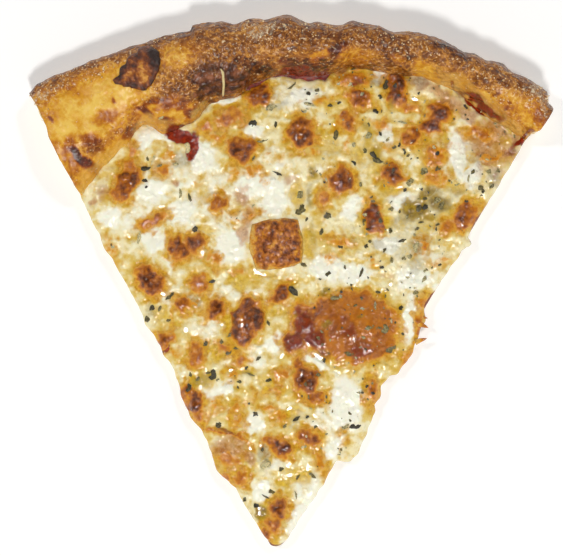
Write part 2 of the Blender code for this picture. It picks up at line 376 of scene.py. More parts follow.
class Recipe:
    """A material under construction, round one Principled shader."""

    def __init__(self, name):
        self.material = bpy.data.materials.new(name)
        self.material.use_nodes = True
        self.tree = self.material.node_tree
        self.shader = self.tree.nodes["Principled BSDF"]
        place = self.tree.nodes.new("ShaderNodeTexCoord")
        self.place = Value(self, place.outputs["Object"])

    def node(self, kind, settings=None, inputs=None, output=0):
        """A node of a kind. Its settings come first, then the values or links of its sockets."""
        made = self.tree.nodes.new(kind)
        for key, value in (settings or {}).items():
            if key == "stops":
                ramp = made.color_ramp.elements
                while len(ramp) < len(value):
                    ramp.new(0.5)
                for stop, (position, colour) in zip(ramp, value):
                    stop.position = position
                    stop.color = colour
            else:
                setattr(made, key, value)
        for key, value in (inputs or {}).items():
            self.plug(made.inputs[key], value)
        return Value(self, made.outputs[output])

    def plug(self, socket, value):
        if isinstance(value, Value):
            self.tree.links.new(value.socket, socket)
        else:
            socket.default_value = value

    def field(self, name):
        """A number that the mesh carries at each point."""
        return self.node("ShaderNodeAttribute", {"attribute_name": name}, {}, "Fac")

    def grain(self, size, detail=2.0, rough=0.5, stretch=(1.0, 1.0, 1.0)):
        """Noise of 0 to 1 in the piece's own space, with waves of about a size in millimetres."""
        place = self.place
        if stretch != (1.0, 1.0, 1.0):
            place = self.node("ShaderNodeMapping", {}, {"Vector": place, "Scale": stretch})
        values = {"Vector": place, "Scale": 1.0 / (size * MM), "Detail": detail, "Roughness": rough}
        return self.node("ShaderNodeTexNoise", {}, values)

    def domes(self, size):
        """Scattered round domes, about a size apart: 1 at the top, 0 where they end."""
        values = {"Vector": self.place, "Scale": 1.0 / (size * MM)}
        distance = self.node("ShaderNodeTexVoronoi", {}, values, "Distance")
        return (1.0 - distance * distance * 5.0).above(0.0)

    def step(self, value, start, end):
        """0 at start and 1 at end, with a soft step between."""
        settings = {"interpolation_type": "SMOOTHSTEP"}
        return self.node("ShaderNodeMapRange", settings, {0: value, 1: start, 2: end})

    def mix(self, first, second, share):
        return self.node("ShaderNodeMix", {"data_type": "RGBA"}, {0: share, 6: first, 7: second}, 2)

    def ramp(self, value, *stops):
        return self.node("ShaderNodeValToRGB", {"stops": stops}, {0: value})

    def bump(self, height, depth, strength=1.0, over=None):
        """Normal of a relief whose height of 0 to 1 stands for a depth in millimetres, laid over
        another such normal where one is given."""
        values = {"Height": height, "Distance": depth * MM, "Strength": strength}
        if over is not None:
            values["Normal"] = over
        return self.node("ShaderNodeBump", {}, values)

    def finish(self, **sockets):
        for key, value in sockets.items():
            self.plug(self.shader.inputs[key.replace("_", " ")], value)
        return self.material


# %% [markdown]
# ## Camera, floor and light
#
# The slice is seen from straight above, as food often is. The camera hangs high so that the rim
# hardly leans outwards, and it frames the slice with a narrow margin. One light stands in front
# and two smaller ones behind, all small enough to give wet cheese sharp glints. The sky is bright
# round the horizon and dark overhead, as in a studio with white walls: flat wet surfaces mirror
# what is overhead, so a bright ceiling would lay a grey haze over every dark colour.

# %% Camera, floor and light
VIEW_HEIGHT = 800.0
VIEW_WIDTH = 191.4              # of the strip that the picture takes in, at the height below
VIEW_LEVEL = 8.0
VIEW_MIDDLE = (-2.55, 1.36)

camera = bpy.data.objects.new("camera", bpy.data.cameras.new("camera"))
camera.data.angle = 2.0 * math.atan(VIEW_WIDTH / 2.0 / (VIEW_HEIGHT - VIEW_LEVEL))
camera.location = (VIEW_MIDDLE[0] * MM, VIEW_MIDDLE[1] * MM, VIEW_HEIGHT * MM)
bpy.context.scene.collection.objects.link(camera)
bpy.context.scene.camera = camera
bpy.context.scene.view_settings.view_transform = "Standard"

floor_recipe = Recipe("floor")
FLOOR_HALF = 3000.0
corners = np.array([[-1, -1, 0], [1, -1, 0], [1, 1, 0], [-1, 1, 0]]) * FLOOR_HALF
floor_mesh = bpy.data.meshes.new("floor")
floor_mesh.from_pydata(corners * MM, [], [(0, 1, 2, 3)])
floor = bpy.data.objects.new("floor", floor_mesh)
bpy.context.scene.collection.objects.link(floor)
far = floor_recipe.node("ShaderNodeVectorMath", {"operation": "LENGTH"}, {0: floor_recipe.place}, "Value")
glow = floor_recipe.ramp(floor_recipe.step(far, 0.5, 3.0), (0.0, (0.2, 0.2, 0.2, 1.0)), (1.0, (0.5, 0.5, 0.5, 1.0)))
floor_recipe.finish(
    Base_Color=(0.86, 0.86, 0.855, 1.0), Roughness=0.8, Emission_Color=glow, Emission_Strength=1.0,
)
floor.data.materials.append(floor_recipe.material)


def area_light(name, place, size, watts, colour):
    """A square light at a place in metres, turned towards the slice."""
    light = bpy.data.lights.new(name, "AREA")
    light.size = size
    light.energy = watts
    light.color = colour
    lamp = bpy.data.objects.new(name, light)
    lamp.location = place
    direction = lamp.location.normalized()
    lamp.rotation_euler = direction.to_track_quat("Z", "Y").to_euler()
    bpy.context.scene.collection.objects.link(lamp)
    return lamp


area_light("key", (0.1, -0.75, 1.3), 0.18, 12.7, (1.0, 0.985, 0.96))
area_light("side", (-0.7, 0.35, 1.25), 0.12, 3.8, (1.0, 0.99, 0.97))
area_light("back", (0.5, 0.7, 1.2), 0.12, 3.0, (1.0, 0.99, 0.97))

SKY_TOP, SKY_RING = 0.05, 0.68   # strength overhead, and what is added towards the horizon
world = bpy.data.worlds.new("sky")
world.use_nodes = True
sky = world.node_tree
direction = sky.nodes.new("ShaderNodeTexCoord").outputs["Generated"]
up = sky.nodes.new("ShaderNodeSeparateXYZ")
sky.links.new(direction, up.inputs[0])
fall = sky.nodes.new("ShaderNodeMapRange")
fall.interpolation_type = "SMOOTHERSTEP"
for socket, value in zip(list(fall.inputs)[1:5], (0.0, 1.0, SKY_TOP + SKY_RING, SKY_TOP)):
    socket.default_value = value
sky.links.new(up.outputs["Z"], fall.inputs[0])
sky.links.new(fall.outputs[0], sky.nodes["Background"].inputs["Strength"])
sky.nodes["Background"].inputs["Color"].default_value = (1.0, 1.0, 1.0, 1.0)
bpy.context.scene.world = world
print("camera, floor, three lights and a sky")

# %% [markdown]
# ## Ovals, the unit of baking
#
# Heat from above browns what stands up, so colour comes in spots. A spot is an oval: a middle, a
# half length and half width, a turn, and a strength. A list of such spots can be read off the
# food. Pushing the places about with noise first makes every oval ragged.

# %% Spots and stray places


def oval(x, y, spot):
    """Distance from the middle of an oval: 0 there, and 1 on its edge."""
    middle_x, middle_y, length, width, turn = spot[:5]
    c, s = math.cos(math.radians(turn)), math.sin(math.radians(turn))
    lengthwise = c * (x - middle_x) + s * (y - middle_y)
    crosswise = c * (y - middle_y) - s * (x - middle_x)
    return np.hypot(lengthwise / length, crosswise / width)


def spots(x, y, rows, core=0.45, edge=1.35):
    """The strongest of many ovals: full inside the core, nothing past the edge."""
    total = np.zeros_like(x)
    for spot in rows:
        strength = spot[5] if len(spot) > 5 else 1.0
        fade = 1.0 - smooth((oval(x, y, spot) - core) / (edge - core))
        total = np.maximum(total, strength * fade)
    return total


def stray(x, y, size, distance, seed):
    """The places pushed aside by noise, which makes straight edges and ovals ragged."""
    return (x + distance * rough(x, y, size, seed, 3), y + distance * rough(x, y, size, seed + 50, 3))


# %% [markdown]
# ## The crust
#
# Stretched dough is thin where the topping lies and puffs up beyond it. Its section is a low
# slab that ends in a rim: rounded under the outer edge, full at the crest, and sloping down to
# the sauce. That section is swept round the point of the slice, one station after another.
#
# The skin of the rim is a grid of stations by steps along the section. Noise of several sizes
# pushes it out and in along its own normal, which gives the folds, bubbles and sandy grain of
# baked dough. The knife's two faces are ladders of rungs from the underside to the top, and the
# crumb's pores are pushed into them. The flat underside and the hidden top close the body.

# %% Heights and places of the dough
BASE_THIN, BASE_THICK = 4.2, 5.2        # of the base at the point and at the rim
RIM_LOW, RIM_FULL = 16.6, 19.6          # crest at the left end and along the rest
RIM_BELLY, RIM_UNDERCUT, RIM_LEAN = 8.5, 6.0, 0.16
BLUNT_REACH, BLUNT_FADE = 2.6, 18.0     # near the point the rows turn from round to straight
SAUCE_TUCK = 3.0                        # how far the sauce runs on under the rim's inner slope

# The knife tears the rim: how far its cut faces stand out of the strokes, by reach
TORN_LEFT = ((150, 0.0), (158, -0.3), (163, -1.4), (170, -1.8), (176, -1.2), (182, -0.8))
TORN_RIGHT = ((150, 0.0), (164, 0.0), (166.5, 2.0), (173, 2.2), (182, 1.0))


def base_top(reach):
    return blend(BASE_THIN, BASE_THICK, reach / PIE_RADIUS)


def rim_crest(angle):
    rise = smooth((angle + 28.0) / 24.0)
    return blend(RIM_LOW, RIM_FULL, rise) + 0.5 * np.sin(np.radians(22.0 * angle))


def stroke_angles(reach):
    """Angles of the left and the right cut at a reach, in radians."""
    left = LEFT_TURN + np.arcsin(LEFT_MISS / reach) + along(TORN_LEFT, reach) / reach
    right = RIGHT_TURN + np.arcsin(RIGHT_MISS / reach) + along(TORN_RIGHT, reach) / reach
    return -left, right


def plan(u, reach):
    """Place of station u (0 on the left cut, 1 on the right) at a reach: on a circle round the
    point, but on a straight row near it, so that the slice ends blunt."""
    left, right = stroke_angles(reach)
    angle = blend(left, right, u)
    flat_x = blend(np.sin(left), np.sin(right), u)
    flat_y = blend(np.cos(left), np.cos(right), u)
    straight = 1.0 - smooth((reach - BLUNT_REACH) / BLUNT_FADE)
    bulge = straight * (1.0 - (2.0 * u - 1.0) ** 2)
    x = POINT_X + reach * blend(np.sin(angle), flat_x, straight)
    y = POINT_Y + reach * blend(np.cos(angle), flat_y, straight) - bulge
    return x, y


def crust_field(x, y, z):
    """The crust's looks at a place: how gold, brown, floury, burnt, red with sauce and glazed.
    The outermost strip is the darkest, but only above the belly: below, the dough stayed paler."""
    reach, angle = reach_of(x, y), angle_of(x, y)
    from_edge = outer_radius(angle) - reach
    from_sauce = reach - along(SAUCE_REACH, angle)
    sx, sy = stray(x, y, 7.0, 1.6, 21)
    gold = spots(sx, sy, GOLDEN, 0.5, 1.5)
    brown = 0.63 - 0.46 * gold + 0.13 * rough(x, y, 9.0, 22, 4) - 0.16 * spots(sx, sy, PALE, 0.2, 1.6)
    brown = np.maximum(brown, spots(sx, sy, BROWNED))
    belly = smooth((z - 5.0) / 4.0)
    edge = belly * (1.0 - smooth((from_edge - 0.4) / 2.6))
    brown = np.maximum(brown, edge * (0.76 + 0.2 * rough(x, y, 3.0, 23, 3)))
    low = 0.4 + 0.3 * rough(12.0 * np.radians(angle) * 3.0, 0.6 * z, 4.0, 29, 3) + 0.2 * smooth((z - 2.0) / 6.0)
    brown = blend(low, brown, np.maximum(belly, smooth((from_edge - 6.0) / 3.0)))
    wx, wy = stray(x, y, 4.0, 1.6, 24)
    char = spots(wx, wy, CHARRED, 0.5, 1.3) + 0.6 * edge * smooth(0.9 * noise(x, y, 8.0, 25) - 0.3)
    flour = spots(sx, sy, FLOURED) + 0.3 * edge * smooth(noise(x, y, 6.0, 26)) + 0.5 * (1.0 - belly)
    red = spots(sx, sy, SAUCY, 0.6, 1.3)
    melt = 1.0 - smooth((from_sauce + 0.5 - 2.0 * noise(x, y, 6.0, 28)) / 3.0)
    melt = melt * spots(x, y, GLAZED, 0.6, 1.4)
    return {"gold": gold, "brown": brown, "char": char, "flour": flour, "red": np.clip(red, 0, 1), "melt": melt}


# Places on the rim as (x, y, half length, half width, turn, strength)
PALE = (
    (-57, 43, 9, 4, 45), (-48, 48, 6, 4, 30), (-43, 68, 6, 3, 30), (-58, 62, 6, 3, 28), (-66, 58, 8, 3, 25), (-47, 64, 9, 2.2, 30), (-76, 52, 4, 3, 40), (-62, 50, 4, 3, 0),
)
GLAZED = (
    (-62, 40, 16, 6, 45), (-44, 54, 9, 5, 30), (66, 60, 20, 6, -38), (10, 76, 6, 2, 10, 0.6), (-30, 58, 4, 3, 40),
)
GOLDEN = (
    (-68, 58, 22, 11, 28, 1.0), (-60, 66, 18, 6, 28, 0.9), (-44, 57, 9, 5, 20, 1.0), (-72, 40, 5, 12, 62, 0.95),
    (-38, 76, 9, 5, 20, 0.5), (-50, 46, 9, 5, 30, 0.8), (62, 60, 20, 6, -35, 0.55), (78, 57, 11, 6, -35, 0.6), (66, 62.5, 4, 1.8, -30, 0.95),
    (80, 56, 5, 2, -50, 0.85), (50, 68, 4, 1.4, -50, 1.0), (-58, 44, 12, 5, 40, 0.95), (-67, 37, 10, 4, 55, 0.95),
    (47, 70, 6, 3, -40, 0.8), (22, 76, 8, 2.5, 0, 0.5), (-85, 60, 7, 4, 60, 0.6), (-4, 75, 16, 4, 4, 0.25),
    (10, 76, 4, 1.6, 10, 0.8), (37, 75, 3, 1.6, -60, 0.5), (83, 54, 5, 4, 90, 0.7), (-61, 38, 16, 5, 40, 0.95), (-36, 57, 5, 3.5, 30, 0.9),
)
BROWNED = (
    (-74, 45, 6, 3.6, 60, 0.55), (-70, 41.5, 6, 2.0, -38, 0.97), (-66, 47, 4.2, 4.6, 70, 0.72),
    (-73, 38, 5, 3.5, 60, 0.5), (-66, 38, 3, 2, 60, 0.6), (-46, 60.5, 6.5, 1.5, 30, 0.8), (-48.5, 57, 4.5, 1.5, -30, 0.82),
    (-39, 62, 7, 4, 35, 0.66), (-53.5, 51, 4.2, 2.4, 42, 0.7), (-61.5, 55.5, 5, 2.4, 25, 0.5),
    (-59, 61.5, 1.2, 1.2, 0, 0.6), (-80, 55, 1.3, 0.9, -40, 0.7), (56, 77, 8, 3, -25, 0.84), (52, 79, 7, 2.4, -20, 0.98),
    (70, 69, 9, 2.2, -35, 0.68), (-24, 76, 9, 4, 10, 0.66), (6, 83, 24, 5, 0, 0.72), (36, 80, 18, 4, -12, 0.66),
    (69.5, 63, 1.5, 1.2, 0, 0.72), (74.5, 60.5, 1.8, 0.9, 0, 0.75), (72.5, 58.5, 3.2, 0.6, 33, 0.62),
    (-41, 54.2, 5, 1.6, 12, 0.72), (-35.5, 60, 3, 2, 40, 0.66), (-44, 57.4, 1.4, 1.0, 0, 0.5), (-33, 56.5, 1.6, 3.2, 30, 0.74),
    (-12, 73, 10, 3.5, -8, 0.86), (6, 72.5, 12, 3, 5, 0.84), (-32, 69, 3, 6, 0, 0.72), (85, 55.5, 3, 3.4, 60, 0.62),
    (80, 51, 3, 1.5, -20, 0.7), (16, 77.6, 4.4, 2.8, 20, 0.92), (20, 80, 4, 2, 30, 0.7), (0, 74.5, 5, 2, 0, 0.8), (65.5, 60.2, 13, 2.0, -36, 0.88), (24, 72.5, 6, 1.2, -5, 0.7), (-30, 58, 4, 2, 40, 0.7),
)
CHARRED = (
    (-28, 68.5, 4.4, 5.0, 20, 0.85), (-18.5, 68.8, 5.0, 4.6, 10, 1.0), (-24, 66, 8, 3.4, 5, 0.8), (-25, 72, 6, 2.4, 5, 0.7),
    (-31, 63.5, 2.2, 2.2, 0, 0.6), (-70, 42, 4.5, 1.0, -38, 0.35),
    (57, 77, 7, 2.0, -25, 0.4), (-4.5, 88, 5, 1.2, 4, 0.4), (-30, 84.5, 5, 1.0, 12, 0.35),
)
FLOURED = (
    (66, 66, 14, 4, -36, 0.22), (38, 79, 12, 3, -14, 0.25), (-84, 63, 5.5, 2.4, 28, 0.62), (-8, 84.5, 9, 3.4, 8, 0.6), (2, 82, 8, 4, 0, 0.2), (84, 63, 7, 4.4, -45, 0.6),
    (-20, 78, 8, 3, 10, 0.35), (86, 57, 2.5, 4, 0, 0.5), (-87, 58, 2, 5, 30, 0.5), (-60, 73, 16, 1.6, 27, 0.3),
    (-76, 68, 6, 1.4, 28, 0.4), (8, 87, 7, 2, -2, 0.4),
)
SAUCY = (
    (4, 71.0, 9.5, 2.0, 3, 0.9), (16.0, 77.4, 4.0, 2.2, 25, 0.4), (79.5, 49.5, 2.4, 0.9, 50, 0.8),
    (-2, 74, 3, 1.4, 0, 0.45), (65.2, 60.0, 10.0, 1.2, -36, 0.85), (56, 66.4, 3.0, 0.7, -45, 0.6), (-36, 51.5, 6, 2.4, -5, 1.0), (-70, 41, 6, 1.4, -38, 0.35),
)

# %% The rim's skin
STATIONS = 430
UNDERCUT_ROWS = 16
CROWN_ROWS = 96


def rim_section(angle, outer, inner):
    """Reach and height along the rim's section, from its foot over the crest to the base's top:
    a quarter ellipse under the belly, then a half round that leans outwards."""
    turn = np.linspace(0.0, np.pi / 2.0, UNDERCUT_ROWS + 1)[:-1]
    under_reach = outer - RIM_UNDERCUT * (1.0 - np.sin(turn))
    under_height = np.broadcast_to(RIM_BELLY * (1.0 - np.cos(turn)), under_reach.shape)
    turn = np.linspace(0.0, np.pi, CROWN_ROWS)
    lift = np.abs(np.sin(turn))
    middle, half = (outer + inner) / 2.0, (outer - inner) / 2.0
    crown_reach = middle + half * (np.cos(turn) + RIM_LEAN * lift**2)
    crest = rim_crest(angle)
    outer_side = blend(RIM_BELLY, crest, lift**0.85)
    inner_side = blend(base_top(inner), crest, lift**1.3)
    crown_height = np.where(turn < np.pi / 2.0, outer_side, inner_side)
    reach = np.concatenate([under_reach, crown_reach], 1)
    height = np.concatenate([under_height, crown_height], 1)
    return reach, height


u = np.linspace(0.0, 1.0, STATIONS)[:, None]
low_angle, high_angle = np.degrees(stroke_angles(np.array([PIE_RADIUS - 4.0])))
angle = blend(low_angle[0], high_angle[0], u)
outer = outer_radius(angle) - 0.3
inner = along(SAUCE_REACH, angle) - SAUCE_TUCK
reach, height = rim_section(angle, outer, inner)
step_reach, step_height = np.gradient(reach, axis=1), np.gradient(height, axis=1)
length = np.hypot(step_reach, step_height)
out_reach, out_height = step_height / length, -step_reach / length
run = np.cumsum(length, axis=1)
arc = np.radians(angle) * PIE_RADIUS + 0.0 * run
share = np.linspace(0.0, 1.0, reach.shape[1])[None, :]
hold = smooth(share / 0.10) * smooth((1.0 - share) / 0.06)

x, y = plan(u, reach)
looks = crust_field(x, y, height)
sandy = 1.0 - looks["gold"]
burnt = looks["char"]
relief = 0.75 * noise(arc, run, 22.0, 31) + 0.4 * rough(arc, run, 8.0, 32, 2)
relief = relief + (0.1 + 0.16 * sandy) * rough(arc, run, 3.2, 33, 2, 0.5)
relief = relief + 0.9 * burnt * (0.5 - np.minimum(cells(arc, run, 2.6, 35), 0.9))
blister = spots(x, y, ((-68, 46, 9, 6.5, 62, 1.3), (-46, 57.5, 8, 3.4, 25, 0.6), (-24, 67.5, 9, 4.5, 8, 0.9)), 0.1, 1.2)
crater = spots(x, y, ((-48.5, 60.5, 8, 1.1, 28, 0.8), (-62, 62, 3.4, 1.8, 20, 0.3)), 0.2, 1.3)
relief = hold * (relief + blister - crater)
reach, height = reach + relief * out_reach, np.maximum(height + relief * out_height, 0.0)
x, y = plan(u, reach)
rim_grid = np.stack([x, y, height], -1)
rim_looks = crust_field(x, y, height)
rim_looks["crumb"] = np.zeros_like(x)
print("rim grid:", rim_grid.shape[:2], "relief, mm:", np.round(np.ptp(relief), 2))

# %% The knife's faces, the blunt point and the whole body
CUT_LAYERS = 20
CUT_COLUMNS = 290
POINT_COLUMNS = 12


def cut_face(side):
    """Rungs from the underside to the top, along the base and then round the rim's section.
    Pores of the crumb are pushed in, most where the rim is thick, and none at the edges."""
    edge = rim_grid[-side]
    inner_reach = along(SAUCE_REACH, angle[-side]) - SAUCE_TUCK
    foot_reach = outer[-side, 0] - RIM_UNDERCUT
    base_reach = np.linspace(BLUNT_REACH, inner_reach[0], CUT_COLUMNS)
    rim_reach = np.linspace(inner_reach[0], foot_reach, len(edge))
    x, y = plan(float(side), base_reach)
    low = np.stack([x, y, 0.0 * x], -1)
    high = np.stack([x, y, base_top(base_reach)], -1)
    x, y = plan(float(side), rim_reach[1:])
    low = np.concatenate([low, np.stack([x, y, 0.0 * x], -1)])
    high = np.concatenate([high, edge[::-1][1:]])
    rung = np.linspace(0.0, 1.0, CUT_LAYERS)[None, :, None]
    face = blend(low[:, None], high[:, None], rung)
    along_cut, up = reach_of(face[..., 0], face[..., 1]), face[..., 2]
    tall = np.linalg.norm(high - low, axis=1)[:, None] + 0.0 * up
    to_edge = tall * np.minimum(rung[..., 0], 1.0 - rung[..., 0])
    hold = smooth(to_edge / 0.9) * smooth((along_cut - 4.0) / 3.0)
    sx, sy = stray(along_cut, 1.6 * up, 5.0, 1.1, 44)
    puffed = smooth((tall - 5.0) / 7.0)
    bubbles = smooth(1.0 - cells(sx, sy, 4.6, 41) / 0.42) * puffed
    pores = smooth(1.0 - cells(sx, sy, 2.3, 42) / 0.42) * smooth(0.4 + 1.6 * noise(sx, sy, 4.4, 45))
    depth = hold * (2.4 * bubbles + blend(0.6, 1.0, puffed) * pores + 0.35 * rough(along_cut, up, 4.0, 43, 3, 0.6))
    turn, way = ((LEFT_TURN, 1.0), (RIGHT_TURN, -1.0))[side]
    inwards = np.array([way * math.cos(turn), math.sin(turn), 0.0])
    face = face + depth[..., None] * inwards
    return face, smooth(to_edge / 0.9)


tip_u = np.linspace(0.0, 1.0, POINT_COLUMNS)[:, None]
tip_x, tip_y = plan(tip_u, np.full((POINT_COLUMNS, 1), BLUNT_REACH))
tip_z = np.linspace(0.0, 1.0, CUT_LAYERS)[None, :] * base_top(BLUNT_REACH)
tip_grid = np.stack([tip_x + 0.0 * tip_z, tip_y + 0.0 * tip_z, tip_z + 0.0 * tip_x], -1)

sheets, crumbs = [rim_grid], [rim_looks["crumb"]]
for side in (0, 1):
    face, crumb = cut_face(side)
    sheets.append(face)
    crumbs.append(crumb)
sheets.append(tip_grid)
crumbs.append(np.full(tip_grid.shape[:2], 0.6))
points = np.concatenate([sheet.reshape(-1, 3) for sheet in sheets])
faces, start = [], 0
for sheet in sheets:
    index = start + np.arange(sheet[..., 0].size).reshape(sheet.shape[:2])
    faces.append(quads_of(index))
    start += index.size
fields = crust_field(points[:, 0], points[:, 1], points[:, 2])
fields["crumb"] = np.concatenate([crumb.ravel() for crumb in crumbs])
crust = make_piece("crust_skin", points, np.concatenate(faces), fields, fill=True, merge=0.004)
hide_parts("crust")

# %% [markdown]
# ## The finish of baked dough
#
# One material serves the whole crust. A ramp goes from pale dough through gold and orange-brown
# to burnt brown, and the fields made with the mesh say how far along it each place is. Fine
# noise in the piece's own space adds what is smaller than the mesh: sandy grain, and pale specks
# that are partly semolina and flour and partly painted highlights on the grain. The cut faces
# show cream crumb, and the underside is pale and floury.

# %% Material of the crust
bread = Recipe("baked_dough")
gold, brown, char = bread.field("gold"), bread.field("brown"), bread.field("char")
flour, red, crumb = bread.field("flour"), bread.field("red"), bread.field("crumb")
melt = bread.field("melt")
sand = bread.grain(1.7, 3.0, 0.7)
clouds = bread.grain(6.0, 3.0, 0.6)
# Pale specks: partly semolina and flour, partly painted highlights on the grain
specks_and_glints = bread.step(bread.grain(1.0, 1.0), 0.6, 0.75)
curls = bread.step(abs(bread.grain(2.4, 1.5) - 0.5), 0.08, 0.0)

baked = brown + (sand - 0.5) * (1.05 - gold * 0.6) + (clouds - 0.5) * 0.55 - curls * (1.0 - gold * 0.75) * 0.26 + 0.02
sandy_colour = bread.ramp(
    baked,
    (0.05, rgb(228, 178, 96)), (0.3, rgb(196, 132, 50)), (0.52, rgb(150, 90, 24)),
    (0.72, rgb(112, 58, 12)), (0.88, rgb(74, 34, 8)), (1.0, rgb(40, 18, 6)),
)
golden_colour = bread.ramp(
    baked,
    (0.0, rgb(234, 192, 84)), (0.22, rgb(216, 154, 30)), (0.42, rgb(188, 114, 10)),
    (0.62, rgb(150, 74, 6)), (0.82, rgb(98, 38, 6)), (1.0, rgb(50, 20, 6)),
)
colour = bread.mix(sandy_colour, golden_colour, bread.step(gold, 0.1, 0.75))
# Painted highlights: these pale specks stand partly for semolina and partly for glints on the grain
pale = specks_and_glints * (1.05 - gold * 0.8) * 0.6
colour = bread.mix(colour, rgb(240, 204, 150), pale)
film = bread.ramp(clouds, (0.35, rgb(204, 140, 36)), (0.65, rgb(232, 188, 96)))
colour = bread.mix(colour, film, bread.step(melt + (clouds - 0.5) * 0.8, 0.2, 0.9) * 0.6)
dust = bread.step(flour + (sand - 0.5) * 2.2 + (specks_and_glints - 0.3) * 0.5, 0.25, 0.9)
colour = bread.mix(colour, rgb(232, 212, 178), dust * 0.8)
burn = bread.step(char + (sand - 0.5) * 0.5, 0.15, 0.8)
soot = bread.ramp(bread.grain(2.4, 2.0), (0.34, rgb(40, 16, 6)), (0.5, rgb(84, 38, 18)), (0.68, rgb(146, 88, 56)))
colour = bread.mix(colour, soot, burn * 0.92)
sauce_colour = bread.ramp(sand, (0.35, rgb(84, 18, 4)), (0.65, rgb(148, 52, 10)))
colour = bread.mix(colour, sauce_colour, bread.step(red + (sand - 0.5) * 0.8, 0.2, 0.9))
crumb_colour = bread.ramp(clouds, (0.3, rgb(226, 196, 138)), (0.7, rgb(246, 228, 184)))
colour = bread.mix(colour, crumb_colour, bread.step(crumb + (sand - 0.5) * 0.5, 0.3, 0.8))
height_over_floor = bread.node("ShaderNodeSeparateXYZ", {}, {0: bread.place}, "Z")
under = 1.0 - bread.step(height_over_floor, 0.0, 0.8 * MM)
toasted_floor = bread.grain(14.0, 4.0, 0.65)
floor_colour = bread.ramp(
    toasted_floor + (sand - 0.5) * 0.4,
    (0.3, rgb(236, 208, 156)), (0.5, rgb(206, 158, 92)), (0.66, rgb(140, 84, 38)), (0.8, rgb(70, 38, 20)),
)
colour = bread.mix(colour, floor_colour, under)
gloss = 0.32 + gold * 0.08 - melt * 0.14 - red * 0.1 + dust * 0.2 + crumb * 0.4
relief = bread.grain(1.9, 0.0) * (1.2 - gold * 0.8 + melt * 0.5) - curls * (1.0 - gold) * 0.15
bread.finish(
    Base_Color=colour, Roughness=gloss, Normal=bread.bump(relief, 0.8), Specular_IOR_Level=0.45,
)
crust.data.materials.append(bread.material)
print("baked dough:", len(bread.tree.nodes), "nodes")

# %% [markdown]
# ## The sauce
#
# Under the cheese lies a thin coat of tomato sauce. It shows as a dark red line along the rim,
# and as a wet red seam between dough and cheese on the cut faces. It is a slab between two grids
# of stations by rows, and its top is glossy and lumpy with pulp.

# %% Sauce layer
GAP = 0.3
SAUCE_HEIGHT = 0.8


def sauce_top(reach):
    return base_top(reach) + GAP + SAUCE_HEIGHT


u = np.linspace(0.0, 1.0, 260)[:, None]
v = np.linspace(0.0, 1.0, 110)[None, :]
sauce_end = along(SAUCE_REACH, blend(low_angle[0], high_angle[0], u)) + 0.3
reach = blend(BLUNT_REACH + 0.3, sauce_end, v)
x, y = plan(blend(0.002, 0.998, u), reach)
lumps = 0.35 * rough(x, y, 5.0, 51, 4, 0.6)
climb = 1.9 * smooth((reach - sauce_end + 3.0) / 3.0)**2
edge = np.minimum(np.minimum(u, 1.0 - u) * reach, 1.2) / 1.2
top = np.stack([x, y, sauce_top(reach) - 0.5 + (0.5 + lumps) * edge + climb], -1)
under = np.stack([x, y, base_top(reach) - 0.15 + 0.0 * x], -1)
points, faces = slab(top, under)
sauce = make_piece("sauce_layer", points, faces)
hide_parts("sauce")

tomato = Recipe("tomato_sauce")
pulp = tomato.grain(1.6, 4.0, 0.65)
colour = tomato.ramp(pulp, (0.3, rgb(70, 12, 4)), (0.52, rgb(122, 26, 6)), (0.72, rgb(176, 66, 16)))
tomato.finish(
    Base_Color=colour, Roughness=0.22 + pulp * 0.2, Normal=tomato.bump(pulp, 0.4),
    Coat_Weight=0.6, Coat_Roughness=0.1,
)
sauce.data.materials.append(tomato.material)

# %% [markdown]
# ## Where the cheese is brown, white, oily or thin
#
# Melted cheese is never one colour. It swells into blisters that brown from the top. Fresh curd
# stays milk white. Yellow oil gathers in the hollows, and where the sheet is thin the sauce
# shines through it pink, or a wet grey. Each of these is a list of ovals in millimetres.

